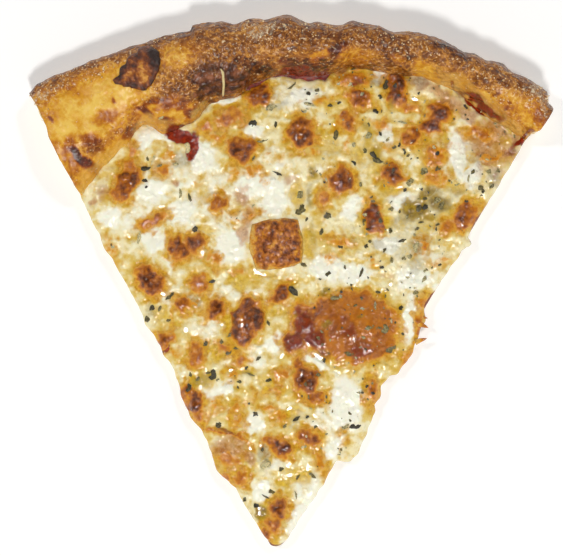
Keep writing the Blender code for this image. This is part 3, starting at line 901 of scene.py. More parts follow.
# %% Places on the cheese
# Blisters: (x, y, half length, half width, turn, browning, swell)
BLISTERS = (
    # along the rim
    (-10.5, 63.5, 5, 4, 35, 0.85, 1.2), (-20, 56, 5.5, 3.5, 10, 0.55, 0.6), (-28, 52.5, 2.3, 2.2, 0, 0.5, 0.4),
    (-24, 49.5, 3.5, 2, 0, 0.45, 0.3), (19.8, 54.8, 3.6, 3.2, 0, 0.75, 1.1), (23.5, 62.5, 4.6, 2.8, -25, 0.8, 1.0),
    (22, 69, 5, 2.4, 0, 0.6, 0.7), (23.5, 73.5, 4, 2, 5, 0.45, 0.4), (36.5, 66, 6, 3.6, 90, 0.95, 1.8),
    (40, 60, 4, 1.8, -10, 0.6, 0.4), (51, 57, 3.8, 3.4, 0, 0.95, 1.7), (48.5, 53, 3.8, 3, 20, 0.9, 1.2),
    (42, 49.5, 3.6, 3.4, 0, 0.8, 1.2), (49.5, 43, 4.8, 3.6, 90, 0.5, 0.7), (65, 50.5, 5, 2.6, -5, 0.55, 0.6),
    (69, 42.5, 4, 1.3, 10, 0.55, 0.3), (10.5, 61.5, 4, 1.6, 0, 0.35, 0.2),
    # upper middle
    (-16, 45, 4.8, 4.3, 10, 0.85, 1.3), (-13, 38.5, 3.5, 2.2, -20, 0.42, 0.4), (-19, 37.5, 2, 2.5, 0, 0.4, 0.3),
    (4.5, 51, 5.6, 5.2, 90, 0.84, 1.6), (50, 36, 4.2, 3.2, 0, 0.45, 0.5), (35, 36.3, 4.2, 3.6, -20, 0.88, 1.5),
    (17.8, 34.5, 4.8, 4.4, 0, 0.84, 1.3), (12, 28.5, 3, 2.2, 90, 0.55, 0.4), (28.8, 22.5, 5.5, 3.2, 100, 0.97, 1.4),
    (60, 22.8, 6, 3.6, 45, 0.75, 1.2), (54, 18.5, 3.5, 2.5, 20, 0.5, 0.4), (45.8, 11.5, 3.2, 1.8, 100, 0.5, 0.4),
    (51, 7, 4.5, 2.2, 10, 0.3, 0.3), (17, 14, 4.5, 1.8, -10, 0.42, 0.3), (14, 8.5, 2, 1.5, 0, 0.35, 0.3),
    (28.5, 7, 2, 2, 0, 0.35, 0.2), (-6.5, 44, 1.8, 1.5, 0, 0.36, 0.2), (-2, 42.5, 1.6, 1.2, 0, 0.36, 0.2),
    (8, 44.5, 2, 1.6, 20, 0.38, 0.2), (-6.5, 34.3, 1.7, 1.5, 0, 0.3, 0.2), (20.5, 48, 4, 1.2, 90, 0.36, 0.2),
    (31.2, 53.7, 2.6, 1.8, 10, 0.45, 0.3), (33, 46, 1.6, 1.4, 0, 0.4, 0.2),
    # left side
    (-55, 34, 6.2, 3.8, 58, 0.88, 1.7), (-57, 30, 3, 3, 0, 0.7, 0.8), (-54, 39.5, 3, 2.4, 0, 0.55, 0.6),
    (-53, 43.5, 3, 2, 80, 0.42, 0.3), (-43, 38.3, 2.3, 2, 0, 0.5, 0.4), (-41, 43.5, 3.4, 2.6, 0, 0.35, 0.3),
    (-46.5, 20.5, 5.4, 2.2, 25, 0.62, 0.8), (-24, 27, 3.2, 3.2, 0, 0.78, 1.2), (-12.2, 23, 2, 1.6, 0, 0.5, 0.3),
    (-18, 21.5, 2, 1.5, 0, 0.4, 0.2), (-38, 11.2, 4.4, 3.3, 105, 0.88, 1.6), (-32.3, 13, 4, 3, 75, 0.84, 1.5),
    (-25.5, 7.5, 3, 2, 120, 0.45, 0.4), (-17, 3.7, 2.4, 1.3, 0, 0.45, 0.3), (-47.5, 0.3, 6.2, 4.2, -40, 0.92, 1.7),
    (-30.5, -0.5, 3.2, 3, 0, 0.7, 1), (-36, -7.5, 3.4, 3.2, 0, 0.7, 0.9), (-25.3, -9.3, 3.9, 3.3, 25, 0.92, 1.5),
    (-14.6, -13.4, 8.2, 5.4, 72, 0.9, 2.4), (-3.3, -4.4, 4.2, 3, 50, 0.88, 1.3), (-60, 11, 6, 2.5, 120, 0.3, 0.2),
    (-31, 33.5, 1.6, 1.4, 0, 0.3, 0.2),
    # the large bubble and what stands round it
    (22.5, -15.5, 15.5, 12.5, -8, 0.6, 3.0), (17, -15, 6, 6, 0, 0.74, 0.8), (24, -22, 7, 4, 0, 0.78, 0.6),
    (29, -12, 5, 4, 40, 0.62, 0.5), (22, -7, 6, 3, 10, 0.6, 0.4), (33, -18, 3, 4, 0, 0.66, 0.4), (1.8, -20.5, 4.2, 3.8, 0, 0.9, 1.6), (8.5, -18.5, 5, 4.2, -30, 0.86, 0.8), (6, -14, 6.5, 4.4, 60, 0.8, 0.7), (3.5, -9.5, 3, 2.4, 40, 0.72, 0.5),
    (12, -9, 4.5, 4, 0, 0.74, 0.5), (-5, 13, 11, 10, 0, 0.0, 1.3), (41, -26, 4, 2.5, 50, 0.55, 0.3), (44, -15, 6, 1.2, 90, 0.6, 0.3),
    (46, -7, 3, 2.2, 70, 0.45, 0.3), (30, -22, 6, 5, 30, 0.7, 0.4),
    # lower part
    (5.5, -33.5, 4.4, 4.6, 0, 0.86, 1.5), (3.5, -28.5, 3, 2.2, 90, 0.65, 0.7), (9.2, -38.8, 3.2, 2.6, -20, 0.74, 0.9),
    (-2.5, -31.5, 3, 2.6, 0, 0.45, 0.4), (-31.5, -25, 5, 2.8, 90, 0.65, 0.8), (-42.5, -20.5, 4.5, 2.5, 60, 0.82, 0.8),
    (-38, -24.5, 3, 2.5, 0, 0.3, 0.2), (-32.3, -41, 4, 3.6, 60, 0.94, 1.5), (-30.8, -46, 2.4, 2.2, 0, 0.72, 0.8),
    (-35, -37.5, 2, 2.5, 0, 0.7, 0.6), (-24.5, -42, 1.9, 2, 0, 0.45, 0.3), (-18, -42.3, 2.6, 1.8, 75, 0.45, 0.4),
    (-17.5, -47, 2, 1.7, 0, 0.5, 0.4), (-6.5, -43.3, 2.8, 1.3, -15, 0.5, 0.3), (-3.6, -46, 2.6, 1.6, 110, 0.5, 0.3),
    (-4.5, -37, 2.2, 1.3, 0, 0.5, 0.3), (-12, -38.5, 1.8, 1.8, 0, 0.38, 0.3), (-22, -23, 2.5, 1.5, 0, 0.55, 0.4),
    (-16.5, -27, 2, 2, 0, 0.6, 0.5), (-19.5, -31, 2, 2, 0, 0.45, 0.5), (28.3, -37, 4.8, 2.6, 80, 0.62, 0.8),
    # towards the point
    (-22.5, -51.2, 7, 0.8, -8, 0.8, 0.6), (-15.5, -53.6, 3, 0.8, -40, 0.7, 0.5), (-20.5, -60.5, 4.6, 3.4, 0, 0.5, 0.3), (-22, -66.3, 2.4, 1.4, -30, 0.62, 0.6), (-16.3, -66.5, 2.6, 2.6, 0, 0.65, 0.7),
    (-2.5, -56.3, 4.2, 3.2, -35, 0.94, 1.4), (-6.5, -54.5, 2.2, 2, 0, 0.8, 0.8), (6.5, -52.8, 3.9, 3.2, 0, 0.8, 1.2),
    (10.8, -61, 4, 2, 105, 0.5, 0.4), (18, -52, 2.1, 1.3, 80, 0.4, 0.4), (-3, -77, 3.8, 3.4, 90, 0.87, 1.5),
    (-5.5, -82.5, 3, 2.6, 110, 0.74, 0.8), (-8, -86, 2.2, 1.6, 120, 0.8, 0.6),
)
BIG_BUBBLE = ((22.5, -15.5, 15.5, 13, -8),)
# Curd that stays white, as ovals
WHITE = (
    (-30, 42, 5, 6, 0), (-10, 33, 9, 4.5, 0), (-12, 51, 4, 3, 0), (-47, 49.5, 6, 3, 35), (5, 63, 6, 4, 0),
    (31, 71, 3, 3, 0), (33, 50, 3, 4, 0), (57, 44, 9, 3, 95), (33, 13, 5, 3, 0), (42, 1, 6, 4, 0), (21, 25, 5, 3, 60),
    (19, -42, 6, 10, 0), (41, -13, 9, 2.5, 80), (9, -27, 5, 1.8, -35), (-5, -21, 4, 4, 0), (-22, -36.5, 4, 2, 30),
    (-9, -71, 3, 4, 0), (4, -79, 10, 3, 57), (-60, 22, 5, 3.5, 0), (-47, 31, 6, 4, 0), (-46, 14, 4, 4, 0),
    (-20, 12, 6, 6, 0), (-12, -49, 4, 3, 0), (-5, 29, 5, 7, 0), (13, 5, 6, 5, 0), (22, 3, 6, 4, 0), (62, 36, 5, 3, 60),
    (-37, 24, 6, 4, 20), (52, -2, 3, 3, 0), (-40, 50, 4, 2.5, 30), (38, 28, 5, 3, 0), (-2, 14, 16, 9, 90, 0.4), (-23.5, 61.5, 8, 1.6, 14),
    # wide milky stretches
    (-22, 24, 22, 15, 20, 0.42), (-40, 36, 16, 10, 20, 0.42), (-6, 32, 12, 16, 0, 0.45), (-48, 18, 12, 12, 0, 0.36),
    (18, 4, 20, 6, 0, 0.36), (45, 6, 12, 10, 0, 0.4), (0, 62, 14, 6, 0, 0.4), (18, -42, 10, 16, 0, 0.4), (-30, -2, 8, 14, 20, 0.25),
    (58, 44, 8, 14, 0, 0.35), (40, 30, 10, 8, 0, 0.3), (-10, -70, 8, 8, 0, 0.25), (22, 44, 10, 8, 0, 0.2),
    (-25, -37, 6, 3.5, 0, 0.6), (-11, -25, 3.5, 5, 20, 0.5), (-41, -5, 5, 6, 0, 0.5), (-28, -16, 5, 5, 0, 0.5),
    (-22, -4, 7, 3, 0, 0.5), (11, -47, 6, 4, 0, 0.55), (-12, -47, 6, 5, 0, 0.5), (15, -57, 6, 4, 60, 0.7), (6, -70, 4, 8, -30, 0.55),
    (-4, -62, 5, 3, 0, 0.45), (-30, 18, 6, 5, 0, 0.4), (-52, 24, 8, 5, 60, 0.5), (-42, 6, 5, 5, 0, 0.4), (-24, 36, 6, 5, 0, 0.5),
    (-6, -44, 4, 6, 30, 0.3), (-36, -30, 3, 5, 20, 0.4), (13, 37, 4, 6, 0, 0.4), (40, 44, 4, 8, 0, 0.3), (-14, -5, 6, 3, 30, 0.4),
)
# Yellow oil in the hollows
OILY = (
    (6, 14, 8, 3.5, 90), (-8, 2, 6, 2, 0), (-17, 0, 5, 4, 0), (3, 30, 6, 3, 90), (8, 36, 3, 3, 0), (43, 25, 5, 4, 0),
    (27, 50, 2, 6, 0), (29, 44, 4, 3, -40), (14, 47, 4, 4, 0), (-30, -33, 5, 5, 0), (-25, -25, 4, 5, 0),
    (-14, -30, 6, 2.5, 0), (-8, -34, 4, 3, 0), (2, -44, 4, 3.5, 0), (-10, -78, 3, 3.5, 0), (3, -66, 7, 4, 0),
    (-1, -68, 5, 3, 0), (-20, -14, 8, 2.5, 80), (-10, -20, 3, 2, 0), (36, 31, 5, 2.5, 0), (57, 32, 5, 3, 0),
    (-44, -11, 3, 4, 0), (-5, -10, 4, 3, 0), (24, 43, 3, 4, 20), (-28, 18, 4, 2, 0), (33, 20, 3, 4, 0),
)
# Thin places where the sauce shines through pink
PINK = (
    (-20, -57, 8, 6, 0, 0.9), (-13, -60, 3, 3, 0), (-16, 29, 3, 3, 0), (-15.5, 16, 2.5, 4, 0), (-38.5, 33.5, 1.8, 1.8, 0),
    (-63, 30, 3, 3.5, 0, 0.8), (67, 45, 6, 4, -30), (77, 49, 3, 2.5, 0), (44, 68, 4.5, 3, 0), (16.5, 72, 3.5, 2.5, 0),
    (1, 35, 3, 2, 0, 0.7), (54, 61, 5, 3.5, -40), (62, 56, 4, 2.5, 0), (-67, 27, 2.2, 1.2, 70), (72, 52, 6, 2.5, -35),
    (1.5, -16, 3, 3.6, 0, 0.8), (50, 65, 5, 2, -35, 0.8), (33, 2, 5, 2, 0, 0.5), (71, 37, 4, 5, 30, 0.6),
    (70, 46, 12, 8, -45, 0.85), (60, 47, 4, 6, 0, 0.5), (66, 37, 4, 4, 0, 0.5), (58, 60, 7, 2.6, -38, 0.9), (36, 70, 8, 2.4, -10, 0.6), (-30, 28, 7, 4, 20, 0.4), (-14, 22, 3, 6, 0, 0.75), (-16, 31, 4, 3, 30, 0.7),
)
# Green oil, steeped in herbs
OLIVE = (
    (43, 25, 6, 5, 0), (51, 26.5, 5.5, 3.6, 0), (47, 30, 6, 2.6, 10, 0.9), (-10, -78, 3, 3.4, 0), (24, -11, 2, 1.6, 0, 0.7),
    (13, -15, 2.4, 2, 0, 0.7), (12, -3.5, 2.4, 1.6, 0, 0.8), (-30, -33, 4, 4, 0, 0.55), (29, 44, 3, 4, 0, 0.6),
    (8, 37, 2.5, 3, 0, 0.8), (35, 60, 2.4, 1.6, 0, 0.6), (7, 29, 2.2, 6, 0, 0.62), (8, 16, 2.2, 7, 0, 0.45), (-14, -31, 4, 2, 0, 0.5), (58, 31, 4, 2, 0, 0.5),
    (-8, -63, 3, 3, 0, 0.4), (26, 53, 2, 3, 0, 0.5), (40, 22, 4, 3, 0, 0.6), (48, 22, 5, 2.4, 20, 0.6), (33, 27, 4, 2, 0, 0.4), (-47, -10, 2.5, 4, 20, 0.5), (36, 8, 5, 2, 0, 0.35),
)
# Dark red-brown places, where sauce has baked into the cheese
RUSTY = (
    (21, -17, 4.5, 3, 10, 0.8), (18, -13, 3, 2, 0, 0.6), (24, -23, 5, 2.5, 0, 0.8), (1.8, -20.5, 4.4, 4.0, 0, 1.0), (8.5, -18.5, 5.5, 4, -20, 0.95),
    (33, -19, 3, 3, 0, 0.4), (5, -14, 6.5, 4.2, 65, 0.95), (3.2, -9.5, 3, 2.2, 40, 0.85), (11, -24, 4, 2.4, -30, 0.8), (16, 76, 4, 1.6, 0, 0.8), (23, 67, 3, 2, 0, 0.8),
    (66, 40, 6, 2, 20, 0.5), (76, 45, 5, 2.4, 60, 0.8), (70, 36, 4, 1.6, 55, 0.5), (20, 70, 4, 2.4, 0, 0.5), (58, 64, 4, 1.4, -38, 0.7),
    (28, 23, 3.4, 2.4, 100, 0.6), (-21.5, -51, 6, 1.0, -12, 0.8), (64, 49, 7, 4, -30, 0.35),
)
# Wet grey places, and places where sauce lies bare
GREY = (
    (-37, 42, 5, 4, 0, 0.6), (-32, -6.5, 3, 3, 0, 0.5), (-8.5, -58, 2.5, 4, 0, 0.6), (70, 36, 4, 4, 0, 0.55),
    (-4, 60, 5, 2.5, 0, 0.5), (2, -49, 3, 2, 0, 0.4), (44, 13, 5, 4, 0, 0.6), (43, 5, 4, 6, 0, 0.5), (30, 12, 4, 3, 0, 0.5),
    (38, 20, 5, 3, 0, 0.5), (64, 42, 4, 3, 0, 0.5), (22, 14, 4, 3, 30, 0.4), (56, 30, 4, 3, 0, 0.4), (-22, -35, 4, 2, 0, 0.3), (-28, 30, 3, 2, 0, 0.4), (30, 68, 3, 2, 0, 0.6), (44, 68, 4, 3, 0, 0.6),
    (42, 14, 14, 10, 0, 0.4), (52, 28, 9, 6, 0, 0.38), (30, 48, 8, 8, 0, 0.3), (60, 40, 8, 12, -30, 0.32),
    (-4, -30, 9, 5, 0, 0.25), (14, 44, 6, 6, 0, 0.25), (22, 16, 8, 5, 0, 0.28),
)
BARE = (
    (-37, 49.6, 5.5, 2.4, -12), (-33, 46, 2.2, 5, -8), (64, 59.5, 7, 1.3, -38, 0.9), (22, 68, 2, 1.4, 0, 0.8),
    (18.5, 74.5, 3, 1.4, -35, 0.6), (79, 48.5, 3.5, 0.9, 50, 0.9), (-41.5, -22.5, 1.6, 0.9, 60, 0.8), (1, -20, 2.0, 2.2, 0, 0.5),
)
# Beads of fat that lean to the front and catch the light, as ovals
BEADS = (
    (-21.6, -27, 2.8, 1.0, 75), (-19.8, -30, 1.9, 0.9, 10), (-35, -16.5, 2.0, 1.4, 70),
    (-22, -4, 2.2, 0.7, 10), (-23, -14, 2.0, 0.7, 100),
    (0, -43, 1.7, 0.9, 20), (-43, 25.6, 3.4, 0.7, -15), (-29.2, 10, 4.2, 0.7, 88),
    (-35, 5.5, 2.2, 0.7, 0), (-43, -4.5, 1.4, 0.9, 0), (34.5, -1, 1.2, 1.8, 0), (27.5, 0, 1.2, 0.9, 20),
    (7.5, -22.5, 3.2, 0.7, -50), (12, -27, 3, 0.6, -38), (73, 52, 2.6, 0.9, -60),
    (43, 62, 1.8, 0.7, -30), (46.5, 62.6, 1.4, 0.7, 20), (-11.6, 4.2, 2.6, 0.8, -48), (-7.4, 2.2, 3.6, 0.8, 2),
    (-5.5, 22.8, 3.4, 0.8, 14), (-17, -54, 2.6, 0.6, -20), (-13, -57, 1.0, 1.4, 0),
    (-10.5, 3.4, 3.8, 1.0, -30), (-4.5, 1.2, 3.6, 1.0, 6), (9.5, -25, 4.2, 1.0, -38), (16.5, -30.5, 3.4, 0.9, -26),
)


HALO = 2.4                      # the golden ring round a blister fades out over this distance
FAT_REACH = 3.2                 # and the yellow fat round it over this one


def cheese_fields(x, y):
    """How brown, white, oily, pink, grey and bare the cheese is, each from 0 to 1."""
    sx, sy = stray(x, y, 4.6, 1.35, 61)
    sx, sy = stray(sx, sy, 1.7, 0.42, 65)
    brown, swell, warm = np.zeros_like(x), np.zeros_like(x), np.zeros_like(x)
    moat, fat = np.zeros_like(x), np.zeros_like(x)
    for spot in BLISTERS:
        distance = oval(sx, sy, spot)
        beyond = (distance - 1.0) * math.sqrt(spot[2] * spot[3])
        brown = np.maximum(brown, spot[5] * (1.0 - smooth((beyond + 2.0) / 3.4)))
        warm = np.maximum(warm, smooth(1.6 * spot[5]) * np.exp(-((np.maximum(beyond, 0.0) / HALO) ** 2)))
        moat = np.maximum(moat, spot[5] * np.exp(-(((beyond - 1.3) / 0.9) ** 2)))
        fat = np.maximum(fat, smooth(1.5 * spot[5]) * np.exp(-((np.maximum(beyond, 0.0) / FAT_REACH) ** 2)))
        swell = np.maximum(swell, spot[6] * (1.0 - smooth((distance - 0.35) / 0.85)))
    moat = moat * (1.0 - smooth(brown / 0.4))
    mottle = rough(x, y, 2.6, 68, 3, 0.75)
    brown = brown * (0.88 + 0.3 * mottle * (1.0 - 0.6 * spots(x, y, BIG_BUBBLE, 0.7, 1.0)))
    film = 1.0 - smooth((along(CHEESE_REACH, angle_of(x, y)) - reach_of(x, y)) / 2.5)
    film = film * (0.25 + 0.75 * smooth(-(angle_of(x, y) + 4.0) / 6.0))
    film = film * (1.0 - spots(x, y, ((-23.5, 61.5, 8, 1.8, 14),), 0.8, 1.3))
    brown = np.maximum(brown, film * (0.3 + 0.4 * noise(x, y, 5.0, 67)))
    warm = np.maximum(warm, 0.8 * film)
    sx, sy = stray(x, y, 5.0, 1.3, 71)
    fields = {"brown": brown, "warm": warm, "fat": fat, "calm": spots(x, y, BIG_BUBBLE, 0.7, 1.0)}
    fields["white"] = spots(sx, sy, WHITE, 0.3, 1.5)
    fields["oil"] = spots(sx, sy, OILY, 0.3, 1.4)
    fields["oil"] = np.maximum(fields["oil"], 0.7 * moat * smooth(0.5 + 1.4 * noise(x, y, 6.0, 78)))
    fields["olive"] = spots(sx, sy, OLIVE, 0.2, 1.3)
    fields["rust"] = spots(sx, sy, RUSTY, 0.2, 1.3)
    fields["pink"] = spots(sx, sy, PINK, 0.3, 1.4)
    fields["grey"] = spots(sx, sy, GREY, 0.3, 1.4)
    sx, sy = stray(x, y, 2.5, 0.5, 75)
    fields["bare"] = spots(sx, sy, BARE, 0.55, 1.45)
    fields["bead"] = spots(sx, sy, BEADS, 0.55, 0.9)
    sx, sy = stray(x, y, 7.0, 1.3, 83)
    # Curd relief. The finish also paints its hollows darker and more golden, partly as yellow oil and partly as painted
    # shade
    fields["curd"] = rough(sx, sy, 3.6, 87, 2, 0.4) - 0.6 * smooth(1.0 - cells(sx, sy, 3.0, 88) / 0.5)
    return fields, swell


# %% [markdown]
# ## The melted cheese
#
# The sheet's outline is ragged, with tongues that hang over the cuts, so no simple set of rows
# fits it. Instead a square grid of fine steps covers the slice, and only the squares inside the
# outline are kept. The points on the border slide onto the outline, and their neighbours are
# evened out behind them. From there a few rows round the edge over, droop, and tuck it back
# under, and one flat face closes the body below.

# %% Height of the cheese
CHEESE_HEIGHT = 2.5
EDGE_ROUND = 2.2                # width over which the sheet rounds down to its edge


def cheese_height(x, y, fields, swell):
    """Melted surface: a sheet on the sauce, long waves, blisters, wrinkled skin where it is
    brown, level oil in the hollows, and a rounded edge that droops where nothing holds it."""
    room = np.maximum(cheese_room(x, y), 0.0)
    reach = np.maximum(reach_of(x, y), BLUNT_REACH)
    brown, oil, white = fields["brown"], fields["oil"], fields["white"]
    crisp = smooth((brown - 0.45) / 0.4) * (1.0 - 0.6 * spots(x, y, BIG_BUBBLE, 0.8, 1.1))
    waves = 0.5 * noise(x, y, 13.0, 81) + 0.32 * noise(x, y, 5.5, 82)
    wx, wy = stray(x, y, 7.0, 2.4, 83)
    curds = 0.36 * fields["curd"]
    wrinkles = 0.2 * noise(wx, wy, 2.6, 89) + 0.34 * domes(x, y, 2.1, 90) - 0.2
    relief = waves + 0.35 * white + swell
    relief = relief + (1.0 - crisp) * (1.0 - 0.9 * oil) * curds + crisp * wrinkles
    relief = relief - 0.75 * oil * (1.0 - crisp) - 0.4 * fields["pink"] - 0.5 * fields["bare"]
    full = np.sqrt(1.0 - (1.0 - np.minimum(room / EDGE_ROUND, 1.0)) ** 2)
    thin = blend(0.62, 1.0, smooth(room / 9.0))
    droop = 0.16 * np.maximum(-dough_room(x, y), 0.0) ** 1.5
    z = sauce_top(reach) - 0.5 + full * (thin * CHEESE_HEIGHT + relief * blend(0.6, 1.0, full)) - droop
    sx, sy = stray(x, y, 2.5, 0.5, 75)
    for bead in BEADS:
        share = 1.0 - smooth((oval(sx, sy, bead) - 0.6) / 0.4)
        if share.max() > 0.0:
            middle_x, middle_y = bead[:2]
            level = np.sum(z * share) / np.sum(share)
            face = level + (0.267 + 0.001 * middle_y) * (y - middle_y) - (0.034 - 0.001 * middle_x) * (x - middle_x)
            z = blend(z, face, share)
    return z


# %% The sheet of cheese
CHEESE_STEP = 0.39
CHEESE_INSET = 0.7              # from the outline to the border of the grid
BORDER_PULLS = 3

low_x, high_x, low_y, high_y = -76.0, 84.0, -91.0, 80.0
x, y = np.meshgrid(np.arange(low_x, high_x, CHEESE_STEP), np.arange(low_y, high_y, CHEESE_STEP), indexing="ij")
inside = cheese_room(x, y) > CHEESE_INSET
for step in range(4):
    whole = inside[:-1, :-1] & inside[1:, :-1] & inside[1:, 1:] & inside[:-1, 1:]
    held = np.zeros_like(inside)
    for right in (0, 1):
        for up in (0, 1):
            held[right:right + whole.shape[0], up:up + whole.shape[1]] |= whole
    beside = np.zeros(whole.shape, int)
    beside[1:] += whole[:-1]
    beside[:-1] += whole[1:]
    beside[:, 1:] += whole[:, :-1]
    beside[:, :-1] += whole[:, 1:]
    lone = whole & (beside < 2)
    for right in (0, 1):
        for up in (0, 1):
            held[right:right + whole.shape[0], up:up + whole.shape[1]] &= ~lone
    inside = inside & held
whole = inside[:-1, :-1] & inside[1:, :-1] & inside[1:, 1:] & inside[:-1, 1:]
number = np.arange(x.size).reshape(x.shape)
faces = np.stack([number[:-1, :-1], number[1:, :-1], number[1:, 1:], number[:-1, 1:]], -1)[whole]
used, faces = np.unique(faces, return_inverse=True)
faces = faces.reshape(-1, 4)
x, y = x.ravel()[used], y.ravel()[used]
edges = np.concatenate([faces[:, [i, (i + 1) % 4]] for i in range(4)])
one_way = edges[:, 0] * len(x) + edges[:, 1]
border = edges[~np.isin(one_way, edges[:, 1] * len(x) + edges[:, 0])]
rim = np.unique(border)
print("cheese grid:", len(faces), "squares,", len(rim), "points on the border")


def outwards(x, y):
    """Direction in which the room for cheese shrinks fastest."""
    step = 0.25
    across = cheese_room(x + step, y) - cheese_room(x - step, y)
    up = cheese_room(x, y + step) - cheese_room(x, y - step)
    steep = np.maximum(np.hypot(across, up), 1e-6)
    return -across / steep, -up / steep, steep / (2.0 * step)


neighbours = np.bincount(edges[:, 0], minlength=len(x)) + np.bincount(edges[:, 1], minlength=len(x))
on_rim = np.isin(np.arange(len(x)), rim)
for pull in range(BORDER_PULLS):
    out_x, out_y, steep = outwards(x[rim], y[rim])
    slide = np.clip((cheese_room(x[rim], y[rim]) - CHEESE_INSET) / steep, -0.6, 0.6)
    x[rim] += slide * out_x
    y[rim] += slide * out_y
    for axis in (x, y):
        total = np.bincount(edges[:, 0], axis[edges[:, 1]], len(x)) + np.bincount(edges[:, 1], axis[edges[:, 0]], len(x))
        even = total / neighbours
        near = (~on_rim) & (cheese_room(x, y) < CHEESE_INSET + 1.6)
        axis[near] += 0.6 * (even[near] - axis[near])

fields, swell = cheese_fields(x, y)
z = cheese_height(x, y, fields, swell)
edge_room = cheese_room(x[rim], y[rim])
out_x, out_y, steep = outwards(x[rim], y[rim])

# Rows below the border, as (share of the way out to the outline, height kept above the underside)
LIP = ((0.45, 0.82), (0.8, 0.58), (1.0, 0.25), (0.9, -0.05), (0.3, -0.3), (-1.2, -0.35))
overhang = np.maximum(-dough_room(x[rim], y[rim]), 0.0)
bottom = sauce_top(np.maximum(reach_of(x[rim], y[rim]), BLUNT_REACH)) - 0.6 - 0.16 * overhang**1.5
ring_x, ring_y, ring_z = [x], [y], [z]
for out, keep in LIP:
    tuck = -overhang * smooth((0.35 - out) / 1.5)
    ring_x.append(x[rim] + (out * CHEESE_INSET + tuck) * out_x)
    ring_y.append(y[rim] + (out * CHEESE_INSET + tuck) * out_y)
    ring_z.append(bottom + keep * np.maximum(z[rim] - bottom, 0.4))
points = np.stack([np.concatenate(ring_x), np.concatenate(ring_y), np.concatenate(ring_z)], -1)
rank = np.zeros(len(x), int)
rank[rim] = np.arange(len(rim))
skirt = [faces]
above = border
for row in range(len(LIP)):
    below = len(x) + row * len(rim) + rank[border]
    skirt.append(np.stack([above[:, 1], above[:, 0], below[:, 0], below[:, 1]], -1))
    above = below
faces = np.concatenate(skirt)
fields = {name: np.concatenate([value] + [value[rim]] * len(LIP)) for name, value in fields.items()}
cheese = make_piece("cheese_sheet", points, faces, fields, fill=True)
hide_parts("cheese")

# %% [markdown]
# ## The finish of melted cheese
#
# Young cheese is cream with a yellow cast where its fat has come out. Browning runs from gold to
# orange-brown to a bitter brown that is almost black on the tallest blisters. All of it is wet,
# so it is smooth and glossy with many small highlights, least on the curd, most on the oil.

# %% Material of the cheese


